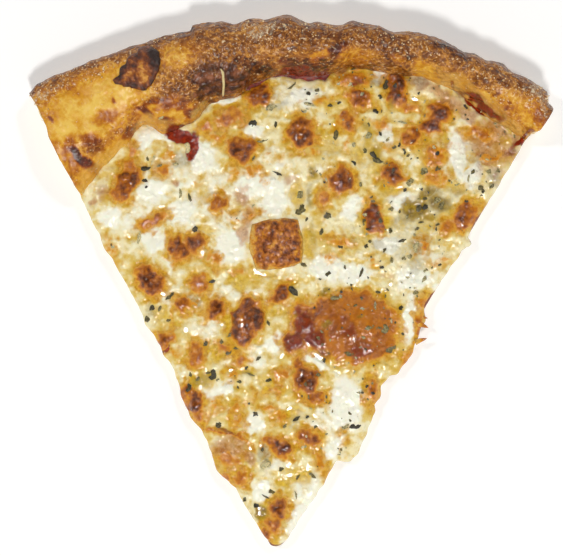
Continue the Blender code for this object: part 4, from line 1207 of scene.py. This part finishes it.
def cheese_recipe(name, wrinkle):
    """Melted cheese with a relief of wrinkles of a depth in millimetres. The mesh's fields say
    where it is brown, warm, white, oily, olive, rusty, pink, grey and bare."""
    milk = Recipe(name)
    brown, white, oil = milk.field("brown"), milk.field("white"), milk.field("oil")
    pink, grey, bare = milk.field("pink"), milk.field("grey"), milk.field("bare")
    warm, olive, rust = milk.field("warm"), milk.field("olive"), milk.field("rust")
    soft = milk.grain(4.5, 4.0, 0.6)
    fine = milk.grain(1.4, 3.0, 0.65)
    flecks = milk.grain(0.8, 2.0, 0.6)
    # The curd relief also colours the cheese: its hollows turn more golden and less white, partly yellow oil lying
    # there and partly painted shade in the creases
    curd = milk.field("curd")
    colour = milk.ramp(
        soft * 0.5 + 0.4 - milk.field("fat") * 0.2 + curd * 0.1 + (fine - 0.5) * 0.18,
        (0.32, rgb(190, 144, 26)), (0.43, rgb(212, 172, 60)), (0.53, rgb(226, 198, 114)), (0.66, rgb(240, 228, 182)),
    )
    colour = milk.mix(colour, rgb(248, 246, 226), milk.step(white + (fine - 0.5) * 0.5 + curd * 0.2, 0.12, 0.7))
    golden = milk.ramp(fine, (0.35, rgb(190, 124, 8)), (0.65, rgb(226, 176, 52)))
    colour = milk.mix(colour, golden, milk.step(warm + (soft - 0.5) * 1.1 - curd * 0.3 + (fine - 0.5) * 0.4, 0.42, 1.0) * 0.9)
    oily = milk.ramp(fine, (0.35, rgb(196, 150, 12)), (0.65, rgb(234, 196, 54)))
    colour = milk.mix(colour, oily, milk.step(oil + (fine - 0.5) * 0.7, 0.3, 1.0) * 0.75)
    flesh = milk.ramp(fine, (0.35, rgb(158, 92, 46)), (0.65, rgb(208, 156, 104)))
    colour = milk.mix(colour, flesh, milk.step(pink + (soft - 0.5) * 0.8 + (fine - 0.5) * 0.8, 0.2, 0.95) * 0.75)
    drab = milk.ramp(fine, (0.35, rgb(120, 110, 84)), (0.65, rgb(186, 178, 150)))
    colour = milk.mix(colour, drab, milk.step(grey + (fine - 0.5) * 0.8, 0.15, 0.8) * 0.8)
    sauce = milk.ramp(fine, (0.35, rgb(96, 18, 2)), (0.65, rgb(166, 52, 8)))
    colour = milk.mix(colour, sauce, milk.step(bare + (fine - 0.5) * 0.4, 0.25, 0.75))
    rugged = 1.0 - milk.field("calm") * 0.6
    heat = brown + ((fine - 0.5) * 0.28 + (flecks - 0.5) * 0.2 * milk.step(brown, 0.3, 0.7)) * rugged
    crust_colour = milk.ramp(
        heat,
        (0.16, rgb(230, 178, 66)), (0.32, rgb(216, 148, 36)), (0.5, rgb(190, 114, 24)), (0.68, rgb(156, 84, 20)),
        (0.84, rgb(118, 60, 18)), (1.0, rgb(78, 38, 14)),
    )
    colour = milk.mix(colour, crust_colour, milk.step(heat, 0.14, 0.36))
    green = milk.ramp(fine, (0.35, rgb(100, 74, 8)), (0.65, rgb(168, 136, 30)))
    colour = milk.mix(colour, green, milk.step(olive + (fine - 0.5) * 0.7, 0.15, 0.85) * 0.85)
    rusty = milk.ramp(fine, (0.35, rgb(88, 24, 10)), (0.65, rgb(146, 54, 20)))
    colour = milk.mix(colour, rusty, milk.step(rust + (fine - 0.5) * 0.7, 0.2, 0.9) * 0.8)
    wet = milk.step(oil, 0.15, 0.7)
    crisp = milk.step(brown, 0.4, 0.7)
    gloss = 0.14 - wet * 0.04 + (soft - 0.5) * 0.12
    beads = milk.domes(2.4) * milk.step(milk.grain(5.0, 1.0), 0.34, 0.46)
    skin = milk.grain(2.1, 0.0) * (0.35 + milk.step(soft, 0.62, 0.4) * 0.65) + beads * (0.34 - milk.field("calm") * 0.2)
    milk.finish(
        Base_Color=colour, Roughness=gloss, Normal=milk.bump(skin, wrinkle), Specular_IOR_Level=0.45,
        Coat_Weight=0.12 + milk.step(milk.field("bead"), 0.1, 0.6) * 0.88 + wet * 0.3 + crisp * 0.12, Coat_Roughness=0.06,
        Subsurface_Weight=0.15, Subsurface_Scale=1.0 * MM, Subsurface_Radius=(1.0, 0.7, 0.35),
    )
    return milk


cheese.data.materials.append(cheese_recipe("melted_cheese", 0.55).material)

# %% [markdown]
# ## The browned lump and the burnt flake
#
# A block of cheese that never melted flat sits in the middle: a rounded square with a wrinkled,
# toasted top. On the rim lies a chip of burnt dough, thin, cornered and ridged. Each is a grid
# drawn into its outline. The lump has the finish of the cheese, and the chip a finish of its own, of burnt dough.

# %% Browned lump of cheese
lump_low, lump_high = box_mm("cheese_lump")
LUMP_STEPS = 120
# Its corners as shares of the node's box, from the left front one onwards
LUMP_CORNERS = ((0.12, -0.08), (1.07, 0.05), (0.98, 1.07), (0.02, 0.95))
LUMP_ROUND = 0.24               # how far the sides bend in, from 0 for straight to 0.5 for round
LUMP_BELLY = 0.7                # how far the left side bulges out

u = np.linspace(-1.0, 1.0, LUMP_STEPS)[:, None]
v = np.linspace(-1.0, 1.0, LUMP_STEPS)[None, :]
share_x = 0.5 + 0.5 * u * np.sqrt(1.0 - LUMP_ROUND * v**2)
share_y = 0.5 + 0.5 * v * np.sqrt(1.0 - LUMP_ROUND * u**2)
corner = lump_low[:2] + np.array(LUMP_CORNERS) * (lump_high - lump_low)[:2]
place = blend(
    blend(corner[0], corner[1], share_x[..., None]), blend(corner[3], corner[2], share_x[..., None]), share_y[..., None],
)
x = place[..., 0] - LUMP_BELLY * (1.0 - v**2) * (1.0 - share_x) ** 2 + 0.25 * noise(3.0 * u, 3.0 * v, 1.4, 101)
y = place[..., 1] + 0.25 * noise(3.0 * u, 3.0 * v, 1.4, 103)
to_side = 1.0 - np.maximum(np.abs(u), np.abs(v))
full = np.sqrt(1.0 - (1.0 - np.minimum(to_side / 0.4, 1.0)) ** 2)
seat = sauce_top(reach_of(x, y)) + 1.55
sx, sy = stray(x, y, 3.0, 0.4, 102)
toasted = smooth((x - lump_low[0] - 1.4) / 3.0) * smooth(to_side / 0.16)
crinkle = 0.25 * noise(x, y, 5.0, 106) + (0.1 + 0.6 * toasted) * domes(sx, sy, 2.3, 105)
brown = 0.26 + 0.5 * toasted + 0.26 * rough(x, y, 2.6, 107, 3, 0.8) - 0.16 * domes(sx, sy, 2.3, 105)
top = np.stack([x, y, seat + full * (2.9 + crinkle * smooth(to_side / 0.12))], -1)
under = np.stack([x, y, seat - 0.8 + 0.0 * x], -1)
points, faces = slab(top, under)
lump_looks = {"brown": np.concatenate([brown.ravel(), brown.ravel()]), "warm": np.ones(len(points))}
lump = make_piece("browned_lump", points, faces, lump_looks)
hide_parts("cheese_lump")
lump.data.materials.append(cheese_recipe("browned_cheese", 0.8).material)

# %% Burnt flake of dough
CHIP_MIDDLE = (-50.5, 71.5)
# Its outline, as (turn from +X, distance from the middle)
CHIP_EDGE = (
    (-180, 6.5), (-164, 6.8), (-157, 9.6), (-150, 9.4), (-134, 7.9), (-116, 6.7), (-94, 6.8), (-78, 7.5), (-60, 6.9),
    (-18, 6.3), (4, 7.2), (26, 8.1), (43, 8.9), (73, 8.7), (90, 8.1), (98, 5.8), (128, 5.7), (156, 4.9), (180, 6.5),
)
CHIP_TURNS, CHIP_RINGS = 181, 44
CHIP_STREAKS = ((-48.5, 70, 2.2, 4.5, 10), (-52, 67.5, 3.5, 1.2, 60, 0.7), (-54, 70, 2.4, 0.9, 30, 0.5))


def rim_height_at(x, y):
    """Height of the even rim at a place: the section's lean is undone to find its half round."""
    reach, angle = reach_of(x, y), angle_of(x, y)
    outer = outer_radius(angle) - 0.3
    inner = along(SAUCE_REACH, angle) - SAUCE_TUCK
    out = np.clip((2.0 * reach - outer - inner) / (outer - inner), -1.0, 1.0)
    across = (1.0 - np.sqrt(1.0 - 4.0 * RIM_LEAN * (out - RIM_LEAN))) / (2.0 * RIM_LEAN)
    lift = np.sqrt(np.clip(1.0 - across**2, 0.0, 1.0))
    outer_side = blend(RIM_BELLY, rim_crest(angle), lift**0.85)
    inner_side = blend(base_top(inner), rim_crest(angle), lift**1.3)
    return np.where(across > 0.0, outer_side, inner_side)


turn = np.linspace(-180.0, 180.0, CHIP_TURNS)[None, :-1]
ring = np.linspace(0.0, 1.0, CHIP_RINGS)[:, None]
edge = along(CHIP_EDGE, turn) + 0.18 * noise(turn, 0.0 * turn, 9.0, 111) * smooth((180.0 - np.abs(turn)) / 12.0)
x = CHIP_MIDDLE[0] + np.cos(np.radians(turn)) * ring * edge
y = CHIP_MIDDLE[1] + np.sin(np.radians(turn)) * ring * edge
ridges = 0.45 * noise(1.0 * x + 0.35 * y, 0.35 * y, 2.6, 112) + 0.28 * rough(x, y, 2.2, 113, 2)
ridges = ridges - 0.35 * smooth(1.0 - cells(x, y, 2.4, 115) / 0.5)
full = np.sqrt(1.0 - ring**6)
rise = 0.35 + 0.8 * smooth(ring / 0.8) * smooth((np.cos(np.radians(turn - 35.0)) + 1.0) / 2.0)
seat = rim_height_at(x, y) + 0.75 * noise(np.radians(angle_of(x, y)) * PIE_RADIUS, 30.0 + 0.0 * x, 22.0, 31)
top = np.stack([x, y, seat + 0.2 + full * (0.55 + rise + ridges)], -1)
under = np.stack([x, y, seat - 0.8 + 0.0 * x], -1)
points, faces = disc(top, under)
burn = 0.48 + 0.24 * smooth((ring - 0.5) / 0.4) + 0.5 * smooth((x - 0.5 * y + 87.5) / 6.0) * smooth((y - 70.0) / 6.0)
burn = burn + 0.3 * rough(x + 0.4 * y, y, 3.0, 116, 3, 0.7) - 0.24 * spots(x, y, CHIP_STREAKS, 0.2, 1.4)
chip_looks = {"brown": np.concatenate([burn.ravel(), burn.ravel()])}
chip = make_piece("burnt_chip", points, faces, chip_looks, merge=0.004)
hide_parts("burnt_flake")

scorched = Recipe("burnt_dough")
brown = scorched.field("brown")
fine = scorched.grain(1.2, 3.0, 0.65)
heat = brown + (fine - 0.5) * 0.5
colour = scorched.ramp(
    heat,
    (0.1, rgb(210, 146, 56)), (0.3, rgb(164, 92, 24)), (0.5, rgb(118, 56, 10)), (0.74, rgb(76, 32, 8)), (1.0, rgb(40, 16, 6)),
)
scorched.finish(
    Base_Color=colour, Roughness=0.3 + fine * 0.2, Normal=scorched.bump(fine, 0.5),
)
chip.data.materials.append(scorched.material)

# %% [markdown]
# ## Dried herbs
#
# Oregano and basil are rubbed dry and scattered before baking. They are torn bits of leaf, one
# to five millimetres long, thin and curled, nearly black where they toasted and grey-green where
# they did not. All of them are one mesh: the shape of a leaf bit is worked out for the whole
# list at once, as an array with one more dimension. The largest lie where they fell, by a list,
# and the fine ones are strewn by seeded chance.

# %% Places of the herbs
# (x, y, length, width, turn, tone), where tone runs from 0 for black to 1 for grey-green
HERBS = (
    # along the rim and below it
    (-6, 59.5, 4, 2.6, 20, 0.7), (-4.5, 54, 3, 1.4, 95, 0.2), (-9, 47.8, 4, 0.9, 10, 0.5), (-12, 42, 1.8, 1.0, 60, 0.4),
    (-4, 37, 3.6, 1.1, -25, 0.1), (6.5, 60.3, 5, 1.7, -6, 0.75), (1, 66.5, 4, 0.9, 40, 0.35), (16, 50, 3.6, 1.8, 85, 0.3),
    (17, 61, 1.6, 1.0, 30, 0.1), (14, 60, 1.8, 1.2, 0, 0.2), (22, 40.5, 2.2, 1.4, 130, 0.1), (26.5, 50, 3.2, 2.6, 30, 0.6),
    (28.5, 43, 3.6, 2.6, -30, 0.05), (30, 41, 4, 1.5, -20, 0.3), (29.5, 58, 2.2, 1.5, -40, 0.0), (31, 63, 1.8, 1.2, 120, 0.2),
    (33, 67, 3.6, 2.2, 80, 0.1), (36, 45.8, 2.0, 1.2, 20, 0.3), (37.7, 46.7, 2.2, 0.9, 60, 0.1), (39.3, 44.7, 2.8, 1.0, 110, 0.2),
    (40.5, 43, 1.5, 0.8, 40, 0.4), (46, 38, 2.6, 1.5, -15, 0.5), (41, 34, 3, 2.6, 20, 0.55), (38.5, 54.3, 3.2, 0.7, -10, 0.6),
    (57, 33, 3.0, 0.8, 15, 0.6), (30.5, 41.5, 2.6, 1.4, -50, 0.15), (62.5, 37.5, 2.0, 1.4, 60, 0.3), (61, 35.5, 3.2, 0.8, 80, 0.6),
    (68, 37.5, 2.0, 1.6, 40, 0.5), (65, 32, 2.4, 1.4, 30, 0.3), (66, 31, 1.8, 1.2, 100, 0.2), (60.3, 27.3, 1.4, 1.0, 0, 0.1),
    # left side
    (-46, 42, 5.2, 0.9, 75, 0.9), (-49, 38.3, 4, 1.8, 10, 0.05), (-49, 34.5, 2.1, 1.2, -10, 0.0), (-48.5, 32.3, 1.2, 0.8, 40, 0.1),
    (-48, 42, 1.8, 0.9, 100, 0.3), (-37, 30, 4, 1.9, 85, 0.6), (-33.7, 28.5, 3.6, 1.0, 110, 0.3), (-51, 15, 5, 1.4, 80, 0.8),
    (-32, 18, 2.2, 1.8, 30, 0.1), (-26, 0.2, 3, 1.5, 10, 0.1), (-40.5, -5, 4.2, 1.2, 40, 0.25), (-34.5, 45.5, 3.8, 2.8, 80, 0.85),
    (-44, 39.5, 2, 1.0, 20, 0.5), (-38.5, 40, 2, 1.4, 0, 0.7), (-46.5, -8.5, 3, 2.2, 60, 0.15), (-48, -12.5, 2.6, 2.0, 20, 0.25),
    # middle
    (4, 24, 3.8, 3.6, 20, 0.35), (3.5, 29.8, 3, 2.5, 50, 0.5), (4.5, 26, 1.5, 1.0, 0, 0.2), (6, 21.3, 1.6, 0.9, 70, 0.2),
    (13, 22.5, 2.6, 2.4, 30, 0.25), (11, 17, 3, 2.4, 80, 0.3), (17.5, 12, 1.8, 1.6, 0, 0.0), (26, 12, 2.3, 1.7, 70, 0.1),
    (5, 6, 2.6, 1.2, -20, 0.3), (13.3, 2.8, 2.1, 1.9, 20, 0.1), (24.5, 3, 4, 1.4, 70, 0.2), (10.5, 0.9, 1.2, 0.9, 0, 0.2),
    (19, 5, 1.6, 1.0, 100, 0.3), (38.5, 14, 3, 1.4, 20, 0.15), (32.5, 10.8, 1.8, 1.2, 50, 0.3), (31.5, 5, 1.6, 1.0, 0, 0.1),
    (41, 8.6, 2.2, 1.4, 40, 0.6), (35, 7.5, 2.0, 1.2, 100, 0.5), (39, 8, 1.6, 1.2, 0, 0.5), (43, 12, 4, 1.8, 80, 0.7),
    (43.5, 18, 1.8, 1.1, 30, 0.3), (46.5, 25.5, 2.4, 2.0, 10, 0.0), (44, 25, 3.4, 2.2, 60, 0.2), (45, 20.3, 2.4, 0.8, 10, 0.3),
    (40, 22, 2.6, 0.8, 60, 0.5), (46.3, 28.3, 1.8, 1.2, 0, 0.2), (50.5, 27.5, 2.6, 2.2, 20, 0.6), (52, 26, 3.0, 2.0, 70, 0.4),
    (50.5, 19.5, 1.6, 1.0, 20, 0.3), (50, 18, 1.4, 0.9, 90, 0.2), (28.5, 27.5, 1.6, 1.0, 0, 0.4), (25.5, 21, 2, 1.2, 50, 0.3),
    (31, 21, 2.2, 1.4, 110, 0.2), (27, 18, 1.8, 1.2, 20, 0.1), (35, 25, 2.2, 1.6, 30, 0.5), (37.5, 24, 1.8, 1.2, 80, 0.3),
    (1.5, -3, 4.2, 2.5, -45, 0.05), (27, -15.5, 3, 1.5, 10, 0.5), (29, -8.5, 4, 1.2, 80, 0.6), (22.5, -8, 1.6, 1.0, 30, 0.3),
    (16, -5.5, 4, 1.5, 0, 0.5), (20.3, -24, 2.5, 2.4, 0, 0.35), (34.5, -22.5, 4, 2.8, 30, 0.35), (32.5, -16, 3, 2.8, 60, 0.45),
    (30.3, -3.5, 1.8, 1.2, 0, 0.2), (46, 1, 2.6, 1.6, 60, 0.6), (43, -3.5, 2.0, 1.6, 20, 0.5), (40.5, 1.5, 2.2, 1.4, 0, 0.6),
    # lower part
    (-25.5, -31.5, 3.8, 2.8, 80, 0.05), (-27.5, -31, 2.2, 1.4, 10, 0.3), (-31, -33, 2, 1.2, 50, 0.4), (-33.5, -31.5, 1.8, 1, 100, 0.3),
    (-34, -36, 3, 1.9, 80, 0.1), (-7, -33.5, 2.2, 1.4, 20, 0.2), (-14.5, -29, 2, 1.4, 60, 0.2), (-13, -31.5, 4, 0.9, -20, 0.4),
    (-17, -34, 1.8, 1.2, 0, 0.2), (-10.5, -26, 2.2, 1.0, 40, 0.2), (-7, -14, 2.0, 1.2, 110, 0.3), (-11.5, -45, 2.5, 1.8, 10, 0.1),
    (2.5, -46.5, 3, 1.4, 35, 0.1), (-1.5, -49, 2, 1.2, 60, 0.4), (-41, -13, 1.8, 1.2, 20, 0.3), (-44, -9, 2.2, 1.2, 70, 0.3),
    (-23.5, -48.5, 3.2, 2.8, 20, 0.2), (9.3, -49, 2.2, 1.2, 50, 0.2), (10, -31.5, 2, 1.3, 0, 0.4), (-9, -57, 2, 1.4, 80, 0.2),
    (-8, -62.5, 4, 2.8, 30, 0.8), (-2.7, -63.6, 2, 1.4, 20, 0.2), (3, -66.5, 2.4, 1.2, 60, 0.3), (8, -66, 3, 1.0, -40, 0.4),
    (-6, -71.5, 2.6, 2.2, 10, 0.3), (-8, -73, 3.2, 0.6, -30, 0.2), (-11, -76, 2.2, 1.6, 50, 0.0), (-15, -74, 2.2, 1.4, 60, 0.2),
    (2.5, -72.5, 3, 0.8, 100, 0.5), (22.5, -49.5, 4, 2, 10, 0.0), (19, -49.5, 4, 1, 30, 0.7), (-20.5, -24, 2.4, 1.6, 30, 0.3),
    (-23, -20.5, 2, 1.2, 90, 0.4), (-18, -22.5, 2.2, 1.2, 0, 0.3), (-28.5, -21, 2, 1.4, 40, 0.2), (-20, -18, 2.6, 1, 50, 0.4),
    # seeds and crumbs that stand out
    (-12.3, 54, 3, 2, 10, 0.0), (50.3, 44, 2.2, 1.6, 30, 0.0), (60, 59.5, 2, 1.4, -40, 0.0), (28.5, -37.8, 1.6, 1.2, 0, 0.0),
    (26.5, -35.5, 1.2, 1, 60, 0.0), (36, 66.5, 2.2, 1.5, 80, 0.0), (37.2, 63.4, 1.4, 1.0, 0, 0.1), (-43, 55.8, 2.6, 1.6, 60, 0.75),
)
FINE_HERBS = 330
FINE_SIZE = (0.5, 1.8)


def cheese_top_at(x, y):
    """Height of the finished cheese at given places, for what lies on it."""
    fields, swell = cheese_fields(x, y)
    return cheese_height(x, y, fields, swell)


chance = np.random.default_rng(2024)
# Chance is thrown over the slice's box, and only what falls well inside the cheese is kept
strewn_x = chance.uniform(-74.0, 80.0, 1400)
strewn_y = chance.uniform(-88.0, 78.0, 1400)
thick = 0.5 * np.tanh((strewn_x - 6.0) / 16.0) - 0.1       # more of them fell on the right
kept = (cheese_room(strewn_x, strewn_y) > 2.0) & (noise(strewn_x, strewn_y, 20.0, 121) + thick > -0.1)
strewn_x, strewn_y = strewn_x[kept][:FINE_HERBS], strewn_y[kept][:FINE_HERBS]
count = len(strewn_x)
strewn_length = blend(*FINE_SIZE, chance.uniform(0.0, 1.0, count) ** 2)
strewn_width = strewn_length * chance.uniform(0.35, 0.9, count)
strewn = np.stack([
    strewn_x, strewn_y, strewn_length, strewn_width, chance.uniform(0, 180, count), chance.uniform(0, 0.9, count),
], -1)
herbs = np.concatenate([np.array(HERBS, float), strewn])
print("herb flakes:", len(HERBS), "placed and", count, "strewn")

# %% Shape of the herbs
LEAF_ROWS, LEAF_COLUMNS = 6, 4
LEAF_THICKNESS = 0.1


def many_slabs(top, bottom):
    """Closed bodies between many pairs of small grids, stacked along the first axis."""
    many, rows, columns = top.shape[:3]
    points, faces = slab(top[0], bottom[0])
    both = np.concatenate([top.reshape(many, -1, 3), bottom.reshape(many, -1, 3)], 1)
    offsets = np.arange(many)[:, None, None] * both.shape[1]
    return both.reshape(-1, 3), (faces[None] + offsets).reshape(-1, 4)


x, y, length, width, turn, tone = (column[:, None, None] for column in herbs.T)
count = len(herbs)
s = np.linspace(-1.0, 1.0, LEAF_ROWS)[None, :, None]
t = np.linspace(-1.0, 1.0, LEAF_COLUMNS)[None, None, :]
taper = 1.0 - 0.85 * np.abs(s) ** chance.uniform(1.2, 5.0, (count, 1, 1))
ragged = 0.9 + chance.uniform(-0.38, 0.38, (count, LEAF_ROWS, LEAF_COLUMNS))
along_leaf = 0.5 * length * (s + chance.uniform(-0.08, 0.08, (count, LEAF_ROWS, LEAF_COLUMNS)))
across_leaf = 0.5 * width * t * taper * ragged + chance.uniform(-0.14, 0.14, (count, 1, 1)) * length * s**2
curl = chance.uniform(-0.2, 0.1, (count, 1, 1)) * width * t**2 + chance.uniform(-0.1, 0.04, (count, 1, 1)) * length * s**2
tilt = chance.uniform(-0.28, 0.28, (count, 1, 1)) * across_leaf + chance.uniform(-0.12, 0.12, (count, 1, 1)) * along_leaf
angle = np.radians(turn)
leaf_x = x + np.cos(angle) * along_leaf - np.sin(angle) * across_leaf
leaf_y = y + np.sin(angle) * along_leaf + np.cos(angle) * across_leaf
seat = np.maximum(cheese_top_at(herbs[:, 0], herbs[:, 1]), cheese_top_at(herbs[:, 0] + 0.6, herbs[:, 1] - 0.5))
on_rim = cheese_room(herbs[:, 0], herbs[:, 1]) < 0.5
seat = np.where(on_rim, rim_height_at(herbs[:, 0], herbs[:, 1]) + 0.5, seat)
leaf_z = seat[:, None, None] + 0.08 + curl + tilt
top = np.stack([leaf_x, leaf_y, leaf_z + LEAF_THICKNESS], -1)
bottom = np.stack([leaf_x, leaf_y, leaf_z - 0.05], -1)
points, faces = many_slabs(top, bottom)
tones = np.repeat(tone.ravel(), 2 * LEAF_ROWS * LEAF_COLUMNS)
herb_flakes = make_piece("herb_flakes", points, faces, {"tone": tones})

herb = Recipe("dried_herb")
tone = herb.field("tone")
veins = herb.grain(0.6, 2.0, 0.6)
colour = herb.ramp(
    tone * 1.1 + (veins - 0.5) * 1.2,
    (0.0, rgb(38, 32, 12)), (0.25, rgb(80, 70, 30)), (0.5, rgb(122, 108, 50)), (0.78, rgb(172, 164, 118)), (1.0, rgb(222, 202, 146)),
)
herb.finish(Base_Color=colour, Roughness=0.3, Normal=herb.bump(veins, 0.4))
herb_flakes.data.materials.append(herb.material)

# %% [markdown]
# ## Strings, a stem and grains
#
# A bit of herb stem lies on the burnt bubble of the rim. Where the slice was pulled from its
# neighbour, the cheese tore off in three short strings. Both are tubes: rings across a route,
# each with its own radius, that shrink to nearly nothing at the ends. Semolina from the peel
# clings to the dry parts of the rim as hundreds of tiny eight-sided grains.

# %% Tubes along a route
TUBE_RINGS, TUBE_SIDES = 24, 9


def tube(route):
    """A closed tube along (x, y, z, radius) rows. Rings stand across the smoothed route."""
    s = np.linspace(0.0, len(route) - 1.0, TUBE_RINGS)
    rows = np.array(route, float)
    i = np.minimum(s.astype(int), len(route) - 2)
    columns = blend(rows[i], rows[i + 1], smooth(s - i)[:, None])
    middle, radius = columns[:, None, :3], columns[:, None, 3:]
    ahead = np.gradient(middle[:, 0], axis=0)
    side = np.cross(ahead, (0.0, 0.0, 1.0))
    side = side / np.maximum(np.linalg.norm(side, axis=1, keepdims=True), 1e-6)
    over = np.cross(side, ahead)
    over = over / np.maximum(np.linalg.norm(over, axis=1, keepdims=True), 1e-6)
    a = np.linspace(0.0, 2.0 * np.pi, TUBE_SIDES + 1)[None, :-1, None]
    points = middle + radius * (np.cos(a) * side[:, None] + np.sin(a) * over[:, None])
    return points.reshape(-1, 3), quads_of(np.arange(TUBE_RINGS * TUBE_SIDES).reshape(TUBE_RINGS, -1), cyclic=True)


def tubes(routes):
    """Points and faces of several tubes together."""
    made = [tube(route) for route in routes]
    points = np.concatenate([made_points for made_points, _ in made])
    faces = np.concatenate([made_faces + i * TUBE_RINGS * TUBE_SIDES for i, (_, made_faces) in enumerate(made)])
    return points, faces


# %% The stem and the strings
STEM = ((-22.9, 71.4, 0.2), (-22.2, 70.2, 0.44), (-22.0, 66.5, 0.44), (-22.3, 63.4, 0.4), (-22.4, 62.8, 0.05))
STRINGS = (
    ((42.8, -10.6, 1.0), (44.8, -11.6, 0.8), (46.4, -12.2, 0.4), (47.3, -12.3, 0.05)),
    ((43.2, -14.0, 1.2), (45.2, -14.6, 0.9), (46.6, -15.2, 0.5), (47.5, -15.6, 0.05)),
    ((43.0, -20.6, 1.0), (44.6, -19.9, 0.8), (46.0, -19.5, 0.5), (47.0, -19.2, 0.05)),
)
stem_route = [(x, y, rim_height_at(x, y) + 1.5, radius) for x, y, radius in STEM]
points, faces = tubes([stem_route])
stem = make_piece("herb_stem", points, faces, {"tone": np.full(len(points), 1.0)}, fill=True)
stem.data.materials.append(herb.material)

string_height = sauce_top(90.0) + 0.2
points, faces = tubes([[(x, y, string_height, radius) for x, y, radius in route] for route in STRINGS])
toasted = 0.15 + 0.4 * smooth((points[:, 0] - 44.0) / 2.0)
strings = make_piece("cheese_strings", points, faces, {"brown": toasted, "warm": np.ones(len(points))}, fill=True)
strings.data.materials.append(cheese.data.materials[0])

# %% Grains of semolina

GRAINS_THROWN = 9000
GRAIN_SIZE = (0.16, 0.38)       # half widths
grain_x = chance.uniform(crust_low[0], crust_high[0], GRAINS_THROWN)
grain_y = chance.uniform(30.0, crust_high[1], GRAINS_THROWN)
from_edge = outer_radius(angle_of(grain_x, grain_y)) - reach_of(grain_x, grain_y)
from_sauce = reach_of(grain_x, grain_y) - along(SAUCE_REACH, angle_of(grain_x, grain_y))
looks = crust_field(grain_x, grain_y, np.full(GRAINS_THROWN, 12.0))
wanted = 0.25 * (1.0 - looks["gold"]) + 0.9 * looks["flour"] - looks["char"]
kept = (dough_room(grain_x, grain_y) > 0.5) & (from_edge > 0.8) & (from_sauce > 1.0)
kept = kept & (chance.uniform(0.0, 1.0, GRAINS_THROWN) < wanted)
grain_x, grain_y = grain_x[kept][:, None], grain_y[kept][:, None]
count = len(grain_x)
half = chance.uniform(*GRAIN_SIZE, (count, 1))
spin = chance.uniform(0.0, np.pi, (count, 1))
corner = np.array([[1, 0, 0], [0, 1, 0], [-1, 0, 0], [0, -1, 0], [0, 0, 1], [0, 0, -1]], float)
corner_x = np.cos(spin) * corner[:, 0] - np.sin(spin) * corner[:, 1]
corner_y = np.sin(spin) * corner[:, 0] + np.cos(spin) * corner[:, 1]
arc = np.radians(angle_of(grain_x, grain_y)) * PIE_RADIUS
grain_z = rim_height_at(grain_x, grain_y) + 0.1
points = np.stack([grain_x + half * corner_x, grain_y + half * corner_y, grain_z + half * corner[:, 2]], -1)
sides = np.array([[0, 1, 4], [1, 2, 4], [2, 3, 4], [3, 0, 4], [1, 0, 5], [2, 1, 5], [3, 2, 5], [0, 3, 5]])
faces = (sides[None] + 6 * np.arange(count)[:, None, None]).reshape(-1, 3)
grains = make_piece("semolina_grains", points.reshape(-1, 3), faces)
semolina = Recipe("semolina")
semolina.finish(
    Base_Color=semolina.ramp(semolina.grain(3.0), (0.35, rgb(214, 164, 100)), (0.65, rgb(246, 222, 176))), Roughness=0.4,
)
grains.data.materials.append(semolina.material)
print("grains of semolina:", count)
